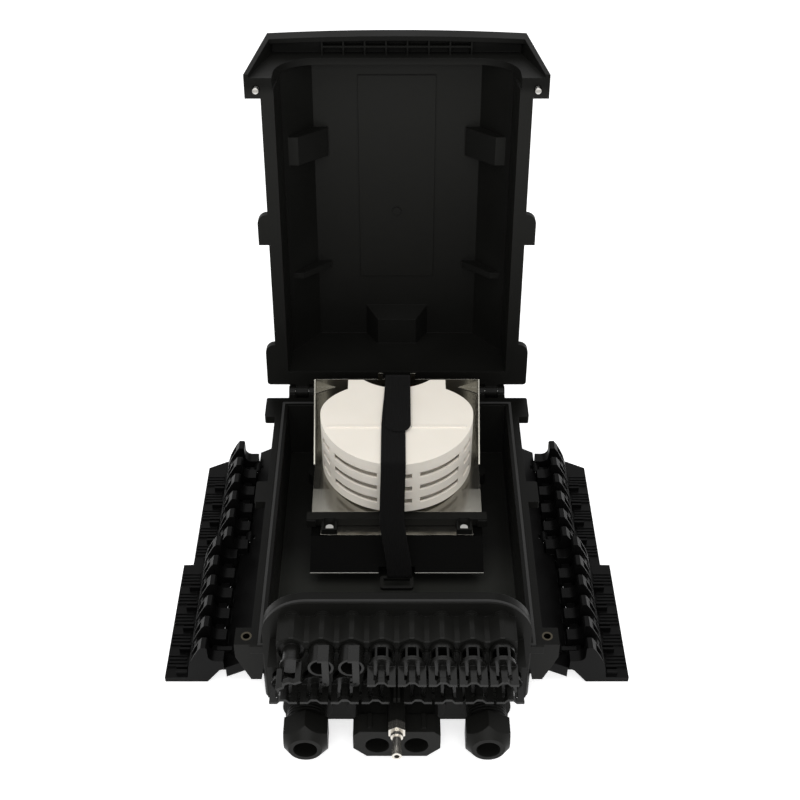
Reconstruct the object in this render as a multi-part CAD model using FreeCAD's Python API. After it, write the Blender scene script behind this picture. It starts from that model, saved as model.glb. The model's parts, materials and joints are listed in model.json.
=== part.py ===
import FreeCAD, Part
import math
import os

# Outdoor fibre termination box, lying on its back with the lid swung open.
# Lengths are in millimetres. X runs across the box, Z up from the back face,
# and u is the distance from the lid's hinge axis towards the ports (along -Y).

UPRIGHT = 0.99         # share of an edge's direction that counts as upright
CUT_OVER = 1.0         # how far cutting tools and joined blocks reach past a face

# Tub
RIM_Z = 62.0           # rim plane, which also holds the hinge axis
RIM_HALF = 112.0       # half the width over the rim
RIM_WIDTH = 11.2
RIM_THICK = 8.0
RIM_START = 10.0       # hinge axis to the rim's far edge
WALL = 3.2
FLOOR = 3.2
TUB_CORNER = 6.0
FLOOR_RIB_H = 2.0
FLOOR_RIB_W = 3.0
FLOOR_RIB_PITCH = 22.0
FLOOR_RIB_U = 205.0    # where the floor ribs start
FLOOR_RIB_PAIRS = 3

# Arch wall at the port end
ARCH_U = 294.0
ARCH_DEPTH = 10.5
ARCH_RISE = 50.0       # arch top above the rim
ARCH_STEP = 0.7        # arch leg outside the tub's inner wall
ARCH_R = 35.0
ARCH_BAND = 4.0        # thickness of the band behind the sealing face

# Seal
GROOVE_IN = 4.2        # rim's inner edge to the middle of the groove
GROOVE_WIDTH = 2.4
GROOVE_DEPTH = 3.0
GROOVE_FRONT = 2.8     # arch front to the middle of the groove
SEAL_PLAY = 0.1

# Lid
LID_OPEN = 96.7        # degrees from closed to the open stop
LID_GAP = 0.4          # between the two rims when closed
LID_RISE = 69.0        # lid top above the rim
LID_KNEE = 35.0        # height where the side walls turn inwards
LID_LEAN = 27.5        # side wall's foot to the top's edge, across
LID_KNEE_IN = 2.5      # how far the knee stands in from the wall's foot
LID_END_IN = 4.0       # how far the far wall leans in at the top
LID_WALL = 3.0
LID_FLANGE = 6.0
LID_START = 7.0        # hinge axis to the flange's far edge
LIP_DEPTH = 6.0        # thickness of the end wall round the arch
LIP_BACK = 1.5         # lip front behind the arch front
LIP_GAP = 0.6          # lip opening round the arch

# Hood at the lid's port end
HOOD_SIDE = 13.0       # foot of the cheeks outside the rim
HOOD_LEAN = 14.5       # cheeks lean in by this much at the top
HOOD_OUT = 14.0        # front edge beyond the arch
HOOD_FALL = 12.8       # foot of the front edge behind its top
HOOD_BOW = 2.8         # how far the front edge bows out in the middle
HOOD_CHEEK = 8.5       # cheeks at the rim start this far behind the arch
HOOD_FLARE = 18.0      # top starts to widen this far behind the arch
HOOD_WALL = 4.0
HOOD_SKIRT = 11.0      # depth of the front edge
GRID_PITCH = 18.2
GRID_CELLS = 7
GRID_RIB = 1.6
GRID_DEPTH = 7.0

# Lid details
TAB_REACH = 9.0        # tabs outside the rim
TAB_THICK = 7.0
TAB_FLAT = 0.5         # straight bit left beside the tab's round corner
TAB_SPANS = ((LID_START, 50.0), (152.0, 181.0))
TAB_CORNER = 3.0       # round corner next to the hinge
PAD_SPANS = ((98.0, 104.0), (210.0, 236.0))
PAD_IN = 15.5          # pad's inner edge inside the edge of the lid's top
PAD_RIDGE = 2.5        # pad's ridge inside that edge
PAD_OUT = 9.5          # pad's outer edge outside it
PAD_FACE = 51.0        # pad ridge above the rim
PAD_FOOT = 40.0        # pad's outer edge above the rim
SPINE_HALF = 34.0
SPINE_STEP = 1.2
SPINE_ENDS = (88.0, 283.0)
GATE_R = 4.0
GATE_U = 155.0
BUMP_HALF = 18.0
BUMP_FOOT_HALF = 31.0
BUMP_DEPTH = 18.0
BUMP_END = 50.0
BUMP_FOOT_END = 57.0

# Hinges
HINGE_IN = 27.6        # inner end of each hinge inside the tub's side
HINGE_LENGTH = 24.6
KNUCKLE = 6.0
KNUCKLE_GAP = 0.4
HINGE_R = 5.0
PIN_R = 2.0
PIN_PLAY = 0.06
HINGE_PLAY = 0.4       # barrels to the strips above and below them
HINGE_STRIP = 2.5      # thickness of those strips
HINGE_WEB = 3.0        # lower strip behind the hinge axis

# Lid screws and the lugs that take them
SCREW_IN = 9.8         # screw axis inside the hood's foot
SCREW_R = 2.5
SCREW_PLAY = 0.4
SCREW_TIP = 6.0        # screw below the lid's rim
SCREW_SEAT = 13.0      # head seat above the rim
SCREW_HEAD_R = 4.6
SCREW_HEAD_H = 4.0
SCREW_SLOT = 1.2
WELL_R = 6.4
INSERT_WALL = 1.5
INSERT_LENGTH = 11.0
LUG_IN = 1.0           # lug's side inside the hood's foot
LUG_LENGTH = 16.5
LUG_DEPTH = 15.0       # straight part of the lug below the rim
LUG_TAPER = 27.0
LUG_TIP = 8.0
LUG_SHIELD = 12.05     # thickness of the tapered part
LUG_LEAN = 10.5        # lug's side leans in by this much at the tip

# Ears on the tub's rim
EAR_REACH = 9.5
EAR_SPANS = ((10.0, 37.0), (123.0, 148.0))

# Port block
PORT_PITCH = 22.0
PORT_COUNT = 8
UPPER_Z = 26.0         # upper port axis above the rim
LOWER_Z = -2.0
LOWER_PITCH = 22.5
LOWER_GAP = 31.0       # between the two middle ports of the lower row
ROOF_LENGTH = 26.5
ROOF_UP = 2.0          # roof's facets above a hexagon round the port's axis
ROOF_BACK = 2.3        # roof's front edge behind the ports' front
ROOF_EDGE = 0.9        # cut of that edge
ROOF_RIDGE = 3.4       # flat on each ridge
ROOF_VALLEY = 3.6      # flat between two ridges
ROOF_CAP = 1.5         # caps at the roof's far end above the ridge
ROOF_CAP_R = 6.5
ROOF_CAP_LENGTH = 2.2
PORT_BORE = 9.6
PORT_BORE_DEPTH = 19.0
PORT_WAY = 6.0         # radius of the way into the tub
BLOCK_SIDE = 1.6       # wall outside the last port of the lower row
BLOCK_DROP = 20.0      # block underside below the rim
END_SETBACK = 6.0
END_HALF = 86.0
POST_GAP = 1.5         # middle of the block to each of the twin posts
POST_SIZE = 1.8
POST_REACH = 21.0
POST_TALL = 5.0

# Port inserts
INSERT_PLAY = 0.15
CROWN_LENGTH = 12.0
CROWN_WALL = 2.0
WINDOW_WIDTH = 6.4
WINDOW_LENGTH = 8.0
WINDOW_ANGLE = 52.0
COLLAR_LENGTH = 1.8
COLLAR_R = 9.9
NECK_R = 3.2
NECK_LENGTH = 8.0
SADDLE_WIDTH = 20.4
SADDLE_LENGTH = 18.0
SADDLE_CHEEK = 4.6
SADDLE_TOP = 1.5       # cheek top above the port axis
SADDLE_PLATE = 2.4
SADDLE_BAR = 4.0
HUMP_RISE = 3.0
HUMP_HALF = 2.2
HUMP_FOOT = 4.6
TONGUE_HALF = 3.6      # foot of the tongue that joins neck and hump
LOWER_SHORT = 6.0      # lower inserts stand back by this much
PLUG_R = 6.4
PLUG_RIM = 8.0
PLUG_LENGTH = 10.5
RING_WALL = 2.0
RING_LENGTH = 14.0
LATCH_WIDTH = 5.2
LATCH_THICK = 2.0
LATCH_SHIFT = 3.4       # strip off the ring's middle
LATCH_HUB = 3.0        # hub beyond the strip's inner edge
LATCH_DROP = 25.4
LATCH_BACK = 1.0       # hub in front of the port block
LATCH_RISE = 0.6       # latch strip above the ring
HOOK_R = 3.6
HOOK_HOLE = 1.2
HOOK_SHIFT = 1.0
TILT_1 = 27.0          # lean of the empty saddle, in degrees

# Glands
GLAND_X = 68.0
GLAND_Z = 20.0         # gland axes above the back face
GLAND_HOLE = 9.0
GLAND_FLANGE_R = 19.0
GLAND_FLANGE = 4.0
GLAND_THREAD_R = 15.4
GLAND_THREAD = 20.0
THREAD_RINGS = 5
THREAD_PITCH = 2.6
THREAD_DEPTH = 0.7
NUT_FLATS = 33.0
NUT_LENGTH = 22.0
NUT_OVERLAP = 4.0      # nut over the threaded body
NUT_DOME = 8.0
NUT_FACE_R = 12.5
NUT_PLAY = 0.3
SHANK_R = 12.0         # gland shank through the end wall
SEAL_WALL = 3.0
OVAL_HOLE_X = 14.5
OVAL_FLANGE_HALF = 37.5
OVAL_FLANGE_R = 18.0
OVAL_STEP = 1.0        # cap overhang round the body
OVAL_HALF = 32.5
OVAL_TALL = 33.0
OVAL_RAISE = 3.0       # cap underside above the body's underside
OVAL_CHAMFER = 10.0
OVAL_FRONT = 38.0      # cap front from the end wall
OVAL_BODY = 22.0
OVAL_RIB = 3.0
OVAL_RIB_X = 20.0

# Air valve
VALVE_Z = 43.5
VALVE_BOSS_R = 6.3
VALVE_BOSS = 37.0
VALVE_NUT_R = 7.0
VALVE_NUT = 7.0
VALVE_COLLAR_R = 4.6
VALVE_COLLAR = 4.0
VALVE_STEM_R = 3.25
VALVE_STEM = 10.0
VALVE_TIP_R = 3.7
VALVE_TIP = 6.0
VALVE_BORE = 2.0

# Trays
TRAY_TOP = 36.0        # top of the stack above the rim
TRAY_PITCH = 14.6
TRAY_LAST = 9.8        # height of the top tray
TRAY_COUNT = 4
TRAY_HALF = 67.2
TRAY_MID = 73.0        # widest line of the trays
TRAY_FRONT = 67.5      # widest line to the front
TRAY_REAR = 43.0       # widest line to the back
TRAY_TAB = (15.0, 44.0)
TRAY_TAB_END = 27.5
TRAY_NOTCH_R = 45.0    # round notch in the back edge
TRAY_NOTCH = 9.0
TRAY_WALL = 2.2
TRAY_FLOOR = 1.6
SLOT_HEIGHT = 5.8
SLOT_SPANS = ((-64.5, -58.5), (-53.5, -17.0), (6.0, 13.0), (20.0, 53.5), (58.5, 64.5))
SPOOL_X = 30.0
SPOOL_R = 16.0
COVER = 2.0
COVER_CREASE_U = 92.0
COVER_BEAD = 0.8       # height of the bead across the cover
COVER_BEAD_WIDTH = 2.4
COVER_BEAD_IN = 7.0    # bead's end inside the cover's edge

# Tray bracket and what is fixed to it
SHEET = 1.2
TRAY_SIDE = 6.6        # trays to the outside of the side plates
BACK_U = 24.4
BACK_RISE = 35.0       # back panel top above the rim
SHELF_FOLD = 112.0
SHELF_END = 137.5
SHELF_FALL = 3.0
SIDE_FOOT = 80.0       # front foot of the side plates
GUSSET = 18.0
HOOP_HALF = 12.5       # strap slot between the two hoop tabs
HOOP_TAB = 4.5
HOOP_RISE = 7.0
STEP_Z = 31.0          # lower flange above the back face
STEP_END = 157.0
STEP_IN = 7.8          # flange's end inside the shelf's
BAR_OUT = 4.3          # bar's end outside the shelf's
BAR_DEPTH = 7.5
BAR_TALL = 8.0
BAR_END = 8.0
BAR_STEP = 1.0         # end blocks below the bar's top
BOSS_IN = 7.8          # screw inside the flange's end
BOSS_OUT = 11.3        # screw in front of the bar's back
BOSS_R = 5.0
POCKET = 13.0
POCKET_WALL = 2.2
POCKET_TALL = 6.0
BOLT_R = 1.6
BOLT_HEAD_R = 3.4
BOLT_HEAD = 2.2
BOLT_LENGTH = 9.0      # depth of the screw's hole in its boss
BOLT_SPARE = 1.0       # room under the screw's tip
PANEL_OUT = 0.2        # panel's end outside the shelf's
PANEL_END = 188.0
PANEL_FALL = 13.0
PANEL_LAP = 8.0
PANEL_NOTCH = 15.5
PANEL_NOTCH_DEPTH = 5.0
FOOT = 12.0            # rear foot flange of the bracket

# Strap
STRAP_WIDTH = 21.0
STRAP_THICK = 1.6
STRAP_RUN = 1.9        # the sloping part's thickness, measured along u
STRAP_TURN = 1.3       # outer corner in front of the inner one
STRAP_CLEAR = 0.3
TONGUE_END = 92.0
BUCKLE_WALL = 3.0
BUCKLE_TALL = 14.0
BUCKLE_PLAY = 0.6
BUCKLE_OUT = 4.0       # buckle in front of the panel's edge

# Wings and the rails that carry them
RAIL_TOP = 33.5        # rail top at the tub wall, above the back face
RAIL_FALL = 0.52       # rail slope, drop for each millimetre outwards
RAIL_THICK = 4.0
RAIL_FLANGE = 3.0
RAIL_FLANGE_FOOT = 10.0
RAIL_LIP = 11.0        # height of the rail's end rib
RAIL_RIB = 5.0
RAIL_PAST = 5.8        # rail beyond the wing's last hook
APRON_OUT = 5.5        # apron under the wing's inner edge, outside the rail
APRON_Z = 11.0
APRON = 2.4            # thickness of the apron and its web
RAIL_SCREW_BACKS = (229.0, 126.0, 27.0)   # screws behind the rail's near end
RAIL_SCREW_R = 2.0
RAIL_SCREW_HEAD_R = 4.0
RAIL_SCREW_HEAD = 2.5
RAIL_SCREW_Z = 15.0
WING_OUT = 32.5        # near hooks' inner face outside the tub's side
WING_STEP = 8.2        # far hooks stand in by this much
WING_PITCH = 22.0
WING_HOOKS = 6         # in each half
WING_BREAK = 0.7       # between the two halves' hooks
WING_RIB = 10.5
WING_TIP_Z = 25.5
WING_REACH = 11.7      # hook's inner face to the horn's
WING_BEND = 6.0        # hollow between tip and horn
WING_HORN_Z = 41.5
WING_BROW = 1.2        # cut of the horn's inner top edge
WING_BACK = ((4.8, 0.0), (8.0, 4.5), (11.5, 11.0), (14.5, 17.5), (16.8, 24.5))   # horn's back, out and down
WING_WIDTH = 48.3
WING_PLATE = 3.5
WING_EDGE = 5.0
WING_CHAMFER = 14.5
WING_CHAMFER_Z = 14.0
WING_HEEL = 4.0        # hook's inner face to the top of the chamfer
WING_CHIN = 2.0        # underside of the hook's tip above that
WING_SPREAD = 2.0      # hook's outer foot beyond its back
WING_SPINE = 7.0       # width of the spine's top
WING_SPINE_RISE = 4.0
WING_TOE = 4.0
WING_STRIP_Z = 5.5
WING_STRIP = 16.0      # width of the toothed strip
WING_OVERRUN = 13.4    # plate beyond the last hook
WING_CORNER = 11.5     # cut at the far outer corner
WING_CORNER_RUN = 24.0
TOOTH_WIDTH = 1.8
TOOTH_LENGTH = 9.0
TOOTH_HEIGHT = 5.0
TOOTH_GAP = 4.2
FINE_HEIGHT = 1.5
FINE_COUNT = 4
EYELET_R = 3.2
EYELET_LENGTH = 2.4
EYELET_Z = 21.0
FENCE = 3.4            # thickness of the wall between the horns' backs
FENCE_Z = 27.5
WING_HOOK_ROOM = 5.0   # eyelets start this far behind the horn's inner face
POCKET_WALL = 1.5      # sides of the pocket in each horn's back
POCKET_DEPTH = 4.2
WING_AXIS_OUT = 0.8    # hinge axis outside the rail's far edge
WING_AXIS_Z = 20.6
WING_EYE_R = 3.6
WING_EYE = 4.0
WING_EYE_GAP = 0.3
WING_ARM_RISE = 1.0    # arm's top above the hinge axis
RAIL_EYE = 3.0
WING_PIN_R = 1.6
RAIL_GAP = 1.2

# Wall-mount holes in the back
MOUNT_X = 75.0
MOUNT_U = (60.0, 260.0)
MOUNT_R = 2.75
MOUNT_DEPTH = 12.0
MOUNT_BOSS_R = 7.0

# Worked-out places
TUB_IN = RIM_HALF - RIM_WIDTH
TUB_OUT = TUB_IN + WALL
TUB_FAR = RIM_START + RIM_WIDTH - WALL
ARCH_HALF = TUB_IN + ARCH_STEP
LID_TOP_HALF = TUB_OUT - LID_LEAN
HOOD_FOOT_HALF = RIM_HALF + HOOD_SIDE
HOOD_TOP_HALF = HOOD_FOOT_HALF - HOOD_LEAN
SCREW_X = HOOD_FOOT_HALF - SCREW_IN
SCREW_U = ARCH_U
LUG_OUT = HOOD_FOOT_HALF - LUG_IN
HINGE_X = TUB_OUT - HINGE_IN
ARCH_END = ARCH_U + ARCH_DEPTH
ARCH_TOP = RIM_Z + ARCH_RISE
HOOD_TOP_REACH = ARCH_END + HOOD_OUT
HOOD_FOOT_REACH = HOOD_TOP_REACH - HOOD_FALL
PORT_FRONT = ARCH_END + ROOF_LENGTH
END_WALL = PORT_FRONT - END_SETBACK
ROOF_SLOPE = 1 / math.sqrt(3)
ROOF_TOP = (PORT_PITCH - ROOF_RIDGE / 2) * ROOF_SLOPE + ROOF_UP
ROOF_LOW = (PORT_PITCH + ROOF_VALLEY) * ROOF_SLOPE / 2 + ROOF_UP
HINGE_Y = (TUB_FAR + END_WALL) / 2
LIP_END = ARCH_END - LIP_BACK
LIP_U = LIP_END - LIP_DEPTH
LID_FOOT_Z = RIM_Z + LID_GAP
LID_TOP_Z = RIM_Z + LID_RISE
TRAY_BASE = RIM_Z + TRAY_TOP - COVER - TRAY_LAST - (TRAY_COUNT - 1) * TRAY_PITCH
TRAY_NOTCH_U = TRAY_MID - TRAY_REAR + TRAY_NOTCH - TRAY_NOTCH_R
BAR_U = SHELF_END + SHEET
SHELF_HALF = TRAY_HALF + TRAY_SIDE
STEP_HALF = SHELF_HALF - STEP_IN
BAR_HALF = SHELF_HALF + BAR_OUT
PANEL_HALF = SHELF_HALF + PANEL_OUT
BOSS_X = STEP_HALF - BOSS_IN
BOSS_U = BAR_U + BOSS_OUT
BAR_TOP = TRAY_BASE - SHEET - SHELF_FALL + SHEET
NUT_U = END_WALL + GLAND_FLANGE + GLAND_THREAD - NUT_OVERLAP
WING_IN = TUB_OUT + WING_OUT
WING_SPAN = WING_PITCH * (WING_HOOKS - 1) + WING_RIB
LUG_END = SCREW_U + LUG_LENGTH / 2
WING_NEAR = LUG_END - LUG_SHIELD - RAIL_GAP
WING_SPLIT = WING_NEAR - WING_SPAN - WING_BREAK / 2
WING_FAR_START = WING_NEAR - WING_SPAN - WING_BREAK
WING_FAR = WING_FAR_START - WING_SPAN
RAIL_FAR = WING_FAR - RAIL_PAST
RAIL_SCREW_UPS = [WING_NEAR - back for back in RAIL_SCREW_BACKS]
RAIL_NEAR_EDGE = WING_IN - RAIL_GAP
RAIL_FAR_EDGE = RAIL_NEAR_EDGE - WING_STEP
WING_AXIS_X = RAIL_FAR_EDGE + WING_AXIS_OUT
UPPER_XS = [PORT_PITCH * (i - (PORT_COUNT - 1) / 2) for i in range(PORT_COUNT)]
LOWER_HALF_XS = [LOWER_GAP / 2 + LOWER_PITCH * i for i in range(PORT_COUNT // 2)]
LOWER_XS = [-x for x in reversed(LOWER_HALF_XS)] + LOWER_HALF_XS


def at(x, u, z):
    return FreeCAD.Vector(x, HINGE_Y - u, z)


def block(x, u, z):
    corner = at(x[0], u[1], z[0])
    return Part.makeBox(x[1] - x[0], u[1] - u[0], z[1] - z[0], corner)


def rounded_block(x, u, z, radius):
    solid = block(x, u, z)
    upright = [e for e in solid.Edges if abs(e.tangentAt(e.FirstParameter).z) > 0.99]
    return solid.makeFillet(radius, upright)


def polygon(points):
    return Part.makePolygon(points + points[:1])


def prism_u(points, u0, u1):
    face = Part.Face(polygon([at(x, u0, z) for x, z in points]))
    return face.extrude(at(0, u1, 0) - at(0, u0, 0))


def prism_x(points, x0, x1):
    face = Part.Face(polygon([at(x0, u, z) for u, z in points]))
    return face.extrude(at(x1, 0, 0) - at(x0, 0, 0))


def prism_z(points, z0, z1):
    face = Part.Face(polygon([at(x, u, z0) for x, u in points]))
    return face.extrude(at(0, 0, z1) - at(0, 0, z0))


def rod_u(x, z, radius, u0, u1):
    return Part.makeCylinder(radius, u1 - u0, at(x, u1, z), FreeCAD.Vector(0, 1, 0))


def rod_x(u, z, radius, x0, x1):
    return Part.makeCylinder(radius, x1 - x0, at(x0, u, z), FreeCAD.Vector(1, 0, 0))


def rod_z(x, u, radius, z0, z1):
    return Part.makeCylinder(radius, z1 - z0, at(x, u, z0))


def tube_u(x, z, outer, inner, u0, u1):
    return rod_u(x, z, outer, u0, u1).cut(rod_u(x, z, inner, u0, u1))


def tube_z(x, u, outer, inner, z0, z1):
    return rod_z(x, u, outer, z0, z1).cut(rod_z(x, u, inner, z0, z1))


def joined(solids):
    return solids[0].multiFuse(solids[1:]).removeSplitter()


def mirrored(shape):
    return shape.mirror(FreeCAD.Vector(0, 0, 0), FreeCAD.Vector(1, 0, 0))


def both_sides(shape):
    return [shape, mirrored(shape)]


def hexagon(x, z, flats, turn=90.0):
    reach = flats / math.sqrt(3)
    angles = [math.radians(turn + 60 * i) for i in range(6)]
    return [(x + reach * math.cos(a), z + reach * math.sin(a)) for a in angles]


def arch(inset, foot, u0, u1):
    half = ARCH_HALF - inset
    top = ARCH_TOP - inset
    radius = max(ARCH_R - inset, 1.0)
    bend = radius * (1 - math.sqrt(0.5))
    left = Part.Arc(at(-half, u0, top - radius), at(-half + bend, u0, top - bend), at(-half + radius, u0, top))
    right = Part.Arc(at(half - radius, u0, top), at(half - bend, u0, top - bend), at(half, u0, top - radius))
    edges = [
        Part.makeLine(at(-half, u0, foot), at(-half, u0, top - radius)),
        left.toShape(),
        Part.makeLine(at(-half + radius, u0, top), at(half - radius, u0, top)),
        right.toShape(),
        Part.makeLine(at(half, u0, top - radius), at(half, u0, foot)),
        Part.makeLine(at(half, u0, foot), at(-half, u0, foot)),
    ]
    return Part.Face(Part.Wire(edges)).extrude(at(0, u1, 0) - at(0, u0, 0))


def rim_ring(inner, outer, u_end, z0, z1):
    # U-shaped strip: inner and outer are distances in from the rim's outer edge.
    wide = block((-RIM_HALF + outer, RIM_HALF - outer), (RIM_START + outer, u_end), (z0, z1))
    hole = block((-RIM_HALF + inner, RIM_HALF - inner), (RIM_START + inner, u_end), (z0, z1))
    return wide.cut(hole)


def seal_path(play):
    # The groove's space: along the rim, over the legs' feet and round the arch.
    half = GROOVE_WIDTH / 2 - play
    middle = RIM_WIDTH - GROOVE_IN
    u_mid = ARCH_END - GROOVE_FRONT
    z0 = RIM_Z - GROOVE_DEPTH
    strip = rim_ring(middle + half, middle - half, u_mid + half, z0, RIM_Z - play)
    bow = arch(play, z0, u_mid - half, u_mid + half)
    bow = bow.cut(arch(GROOVE_DEPTH, z0, u_mid - half, u_mid + half))
    bridge = block((ARCH_HALF - GROOVE_DEPTH, TUB_IN + GROOVE_IN + half), (u_mid - half, u_mid + half),
                   (z0, RIM_Z - play))
    return joined([strip, bow] + both_sides(bridge))


def tub_walls():
    outer = rounded_block((-TUB_OUT, TUB_OUT), (TUB_FAR, ARCH_END), (0, RIM_Z), TUB_CORNER)
    cavity = block((-TUB_IN, TUB_IN), (TUB_FAR + WALL, ARCH_END - WALL), (FLOOR, RIM_Z))
    rim = rim_ring(RIM_WIDTH, 0, ARCH_END, RIM_Z - RIM_THICK, RIM_Z)
    wall = arch(0, 0, ARCH_U, ARCH_END)
    hollow = arch(ARCH_BAND, FLOOR, ARCH_U, ARCH_END - WALL)
    return joined([outer.cut(cavity), rim, wall.cut(hollow)])


def floor_ribs():
    ribs = []
    for i in range(FLOOR_RIB_PAIRS):
        x = FLOOR_RIB_PITCH * (i + 0.5)
        rib = block((x - FLOOR_RIB_W / 2, x + FLOOR_RIB_W / 2), (FLOOR_RIB_U, ARCH_END - WALL),
                    (0, FLOOR + FLOOR_RIB_H))
        ribs += both_sides(rib)
    return ribs


def bosses():
    solids = []
    for u in MOUNT_U:
        solids += both_sides(rod_z(MOUNT_X, u, MOUNT_BOSS_R, 0, MOUNT_DEPTH + FLOOR))
    solids += both_sides(rod_z(BOSS_X, BOSS_U, BOSS_R, 0, STEP_Z - 2 * SHEET))
    return solids


def lug():
    inner = TUB_OUT - WALL
    knee = RIM_Z - LUG_DEPTH
    tip = knee - LUG_TAPER
    top = block((inner, LUG_OUT), (SCREW_U - LUG_LENGTH / 2, LUG_END), (knee, RIM_Z))
    tip_out = LUG_OUT - LUG_LEAN
    shield = [(inner, knee), (LUG_OUT, knee), (tip_out, tip), (tip_out - LUG_TIP, tip)]
    return top.fuse(prism_u(shield, LUG_END - LUG_SHIELD, LUG_END))


def insert_hole():
    radius = SCREW_R + SCREW_PLAY / 2 + INSERT_WALL
    return rod_z(SCREW_X, SCREW_U, radius, RIM_Z - INSERT_LENGTH, RIM_Z)


def ears():
    solids = []
    for u0, u1 in EAR_SPANS:
        ear = rounded_block((RIM_HALF - RIM_WIDTH / 2, RIM_HALF + EAR_REACH), (u0, u1),
                            (RIM_Z - RIM_THICK, RIM_Z), RIM_THICK / 4)
        solids += both_sides(ear)
    return solids


def base_knuckles():
    solids = []
    for x0 in (HINGE_X, HINGE_X + HINGE_LENGTH - KNUCKLE):
        barrel = rod_x(0, RIM_Z, HINGE_R, x0, x0 + KNUCKLE)
        arm = block((x0, x0 + KNUCKLE), (0, RIM_START + WALL), (RIM_Z - HINGE_R, RIM_Z))
        solids += both_sides(barrel) + both_sides(arm)
    top = RIM_Z - HINGE_R - HINGE_PLAY
    strip = block((HINGE_X, HINGE_X + HINGE_LENGTH), (-HINGE_WEB, RIM_START + WALL), (top - HINGE_STRIP, top))
    return solids + both_sides(strip)


def hinge_bore():
    bore = rod_x(0, RIM_Z, PIN_R + PIN_PLAY, HINGE_X - CUT_OVER,
                 HINGE_X + HINGE_LENGTH + CUT_OVER)
    return both_sides(bore)


def port_roof():
    axis = RIM_Z + UPPER_Z
    side = PORT_PITCH / 2
    points = [(UPPER_XS[0] - side, axis)]
    for x in UPPER_XS:
        points += [(x - side, axis + ROOF_LOW), (x - side + ROOF_VALLEY / 2, axis + ROOF_LOW),
                   (x - ROOF_RIDGE / 2, axis + ROOF_TOP), (x + ROOF_RIDGE / 2, axis + ROOF_TOP),
                   (x + side - ROOF_VALLEY / 2, axis + ROOF_LOW)]
    points += [(UPPER_XS[-1] + side, axis + ROOF_LOW), (UPPER_XS[-1] + side, axis)]
    front = PORT_FRONT - ROOF_BACK
    roof = prism_u(points, ARCH_END - WALL, front)
    face = max(roof.Faces, key=lambda f: -f.CenterOfMass.y)
    wave = [e for e in face.Edges if min(v.Z for v in e.Vertexes) > axis + ROOF_LOW / 2]
    return roof.makeChamfer(ROOF_EDGE, wave).removeSplitter()


def port_block():
    half = LOWER_XS[-1] + LOWER_PITCH / 2 + BLOCK_SIDE
    upper_half = UPPER_XS[-1] + PORT_PITCH / 2
    body = block((-half, half), (ARCH_END - WALL, PORT_FRONT),
                 (RIM_Z - BLOCK_DROP, RIM_Z + LOWER_Z + LOWER_PITCH / 2))
    chest = block((-upper_half, upper_half), (ARCH_END - WALL, PORT_FRONT), (RIM_Z, RIM_Z + UPPER_Z))
    foot = block((-END_HALF, END_HALF), (ARCH_END - WALL, END_WALL), (0, RIM_Z - BLOCK_DROP))
    solids = [body, chest, foot]
    solids.append(port_roof())
    cap_z = RIM_Z + UPPER_Z + ROOF_TOP + ROOF_CAP - ROOF_CAP_R
    for x in UPPER_XS:
        solids.append(rod_u(x, cap_z, ROOF_CAP_R, ARCH_END - WALL, ARCH_END + ROOF_CAP_LENGTH))
    for x in (-POST_GAP, POST_GAP):
        solids.append(block((x - POST_SIZE / 2, x + POST_SIZE / 2),
                            (PORT_FRONT - WALL, PORT_FRONT + POST_REACH), (RIM_Z - POST_TALL, RIM_Z)))
    return solids


def port_bores():
    cuts = []
    rows = [(x, RIM_Z + UPPER_Z) for x in UPPER_XS] + [(x, RIM_Z + LOWER_Z) for x in LOWER_XS]
    for x, z in rows:
        cuts.append(rod_u(x, z, PORT_BORE, PORT_FRONT - PORT_BORE_DEPTH, PORT_FRONT))
        cuts.append(rod_u(x, z, PORT_WAY, ARCH_U, PORT_FRONT))
    return cuts


def gland_holes():
    u0 = ARCH_END - WALL - CUT_OVER
    cuts = both_sides(rod_u(GLAND_X, GLAND_Z, SHANK_R, u0, END_WALL))
    cuts += both_sides(rod_u(OVAL_HOLE_X, GLAND_Z, SHANK_R, u0, END_WALL))
    return cuts


def mount_holes():
    cuts = []
    for u in MOUNT_U:
        cuts += both_sides(rod_z(MOUNT_X, u, MOUNT_R, 0, MOUNT_DEPTH))
    return cuts


def bolt_holes():
    top = STEP_Z - 2 * SHEET
    return both_sides(rod_z(BOSS_X, BOSS_U, BOLT_R, top - BOLT_LENGTH, top))


def rail_holes():
    cuts = []
    for u in RAIL_SCREW_UPS:
        cuts += both_sides(rod_x(u, RAIL_SCREW_Z, RAIL_SCREW_R, TUB_IN, TUB_OUT))
    return cuts


def base_shell():
    valve_boss = rod_u(0, VALVE_Z, VALVE_BOSS_R, END_WALL - WALL, END_WALL + VALVE_BOSS)
    solids = [tub_walls(), valve_boss]
    solids += floor_ribs() + bosses() + both_sides(lug()) + ears() + base_knuckles() + port_block()
    shell = joined(solids)
    cuts = port_bores() + gland_holes() + mount_holes() + bolt_holes() + rail_holes() + hinge_bore()
    cuts += both_sides(insert_hole())
    return shell.cut(cuts).cut(seal_path(0)).removeSplitter()


def lid_section(z, half, far, near):
    return polygon([at(-half, far, z), at(half, far, z), at(half, near, z), at(-half, near, z)])


def lid_form(inset, z_start, near):
    foot_half = TUB_OUT - inset
    knee_z = RIM_Z + LID_KNEE
    top_z = LID_TOP_Z - inset
    top_half = LID_TOP_HALF - inset
    far = TUB_FAR + inset
    knee_far = far + LID_END_IN * LID_KNEE / LID_RISE
    low = Part.makeLoft([
        lid_section(z_start, foot_half, far, near),
        lid_section(knee_z, foot_half - LID_KNEE_IN, knee_far, near)], True, True)
    high = Part.makeLoft([
        lid_section(knee_z, foot_half - LID_KNEE_IN, knee_far, near),
        lid_section(top_z, top_half, far + LID_END_IN, near)], True, True)
    return low.fuse(high).removeSplitter()


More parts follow.
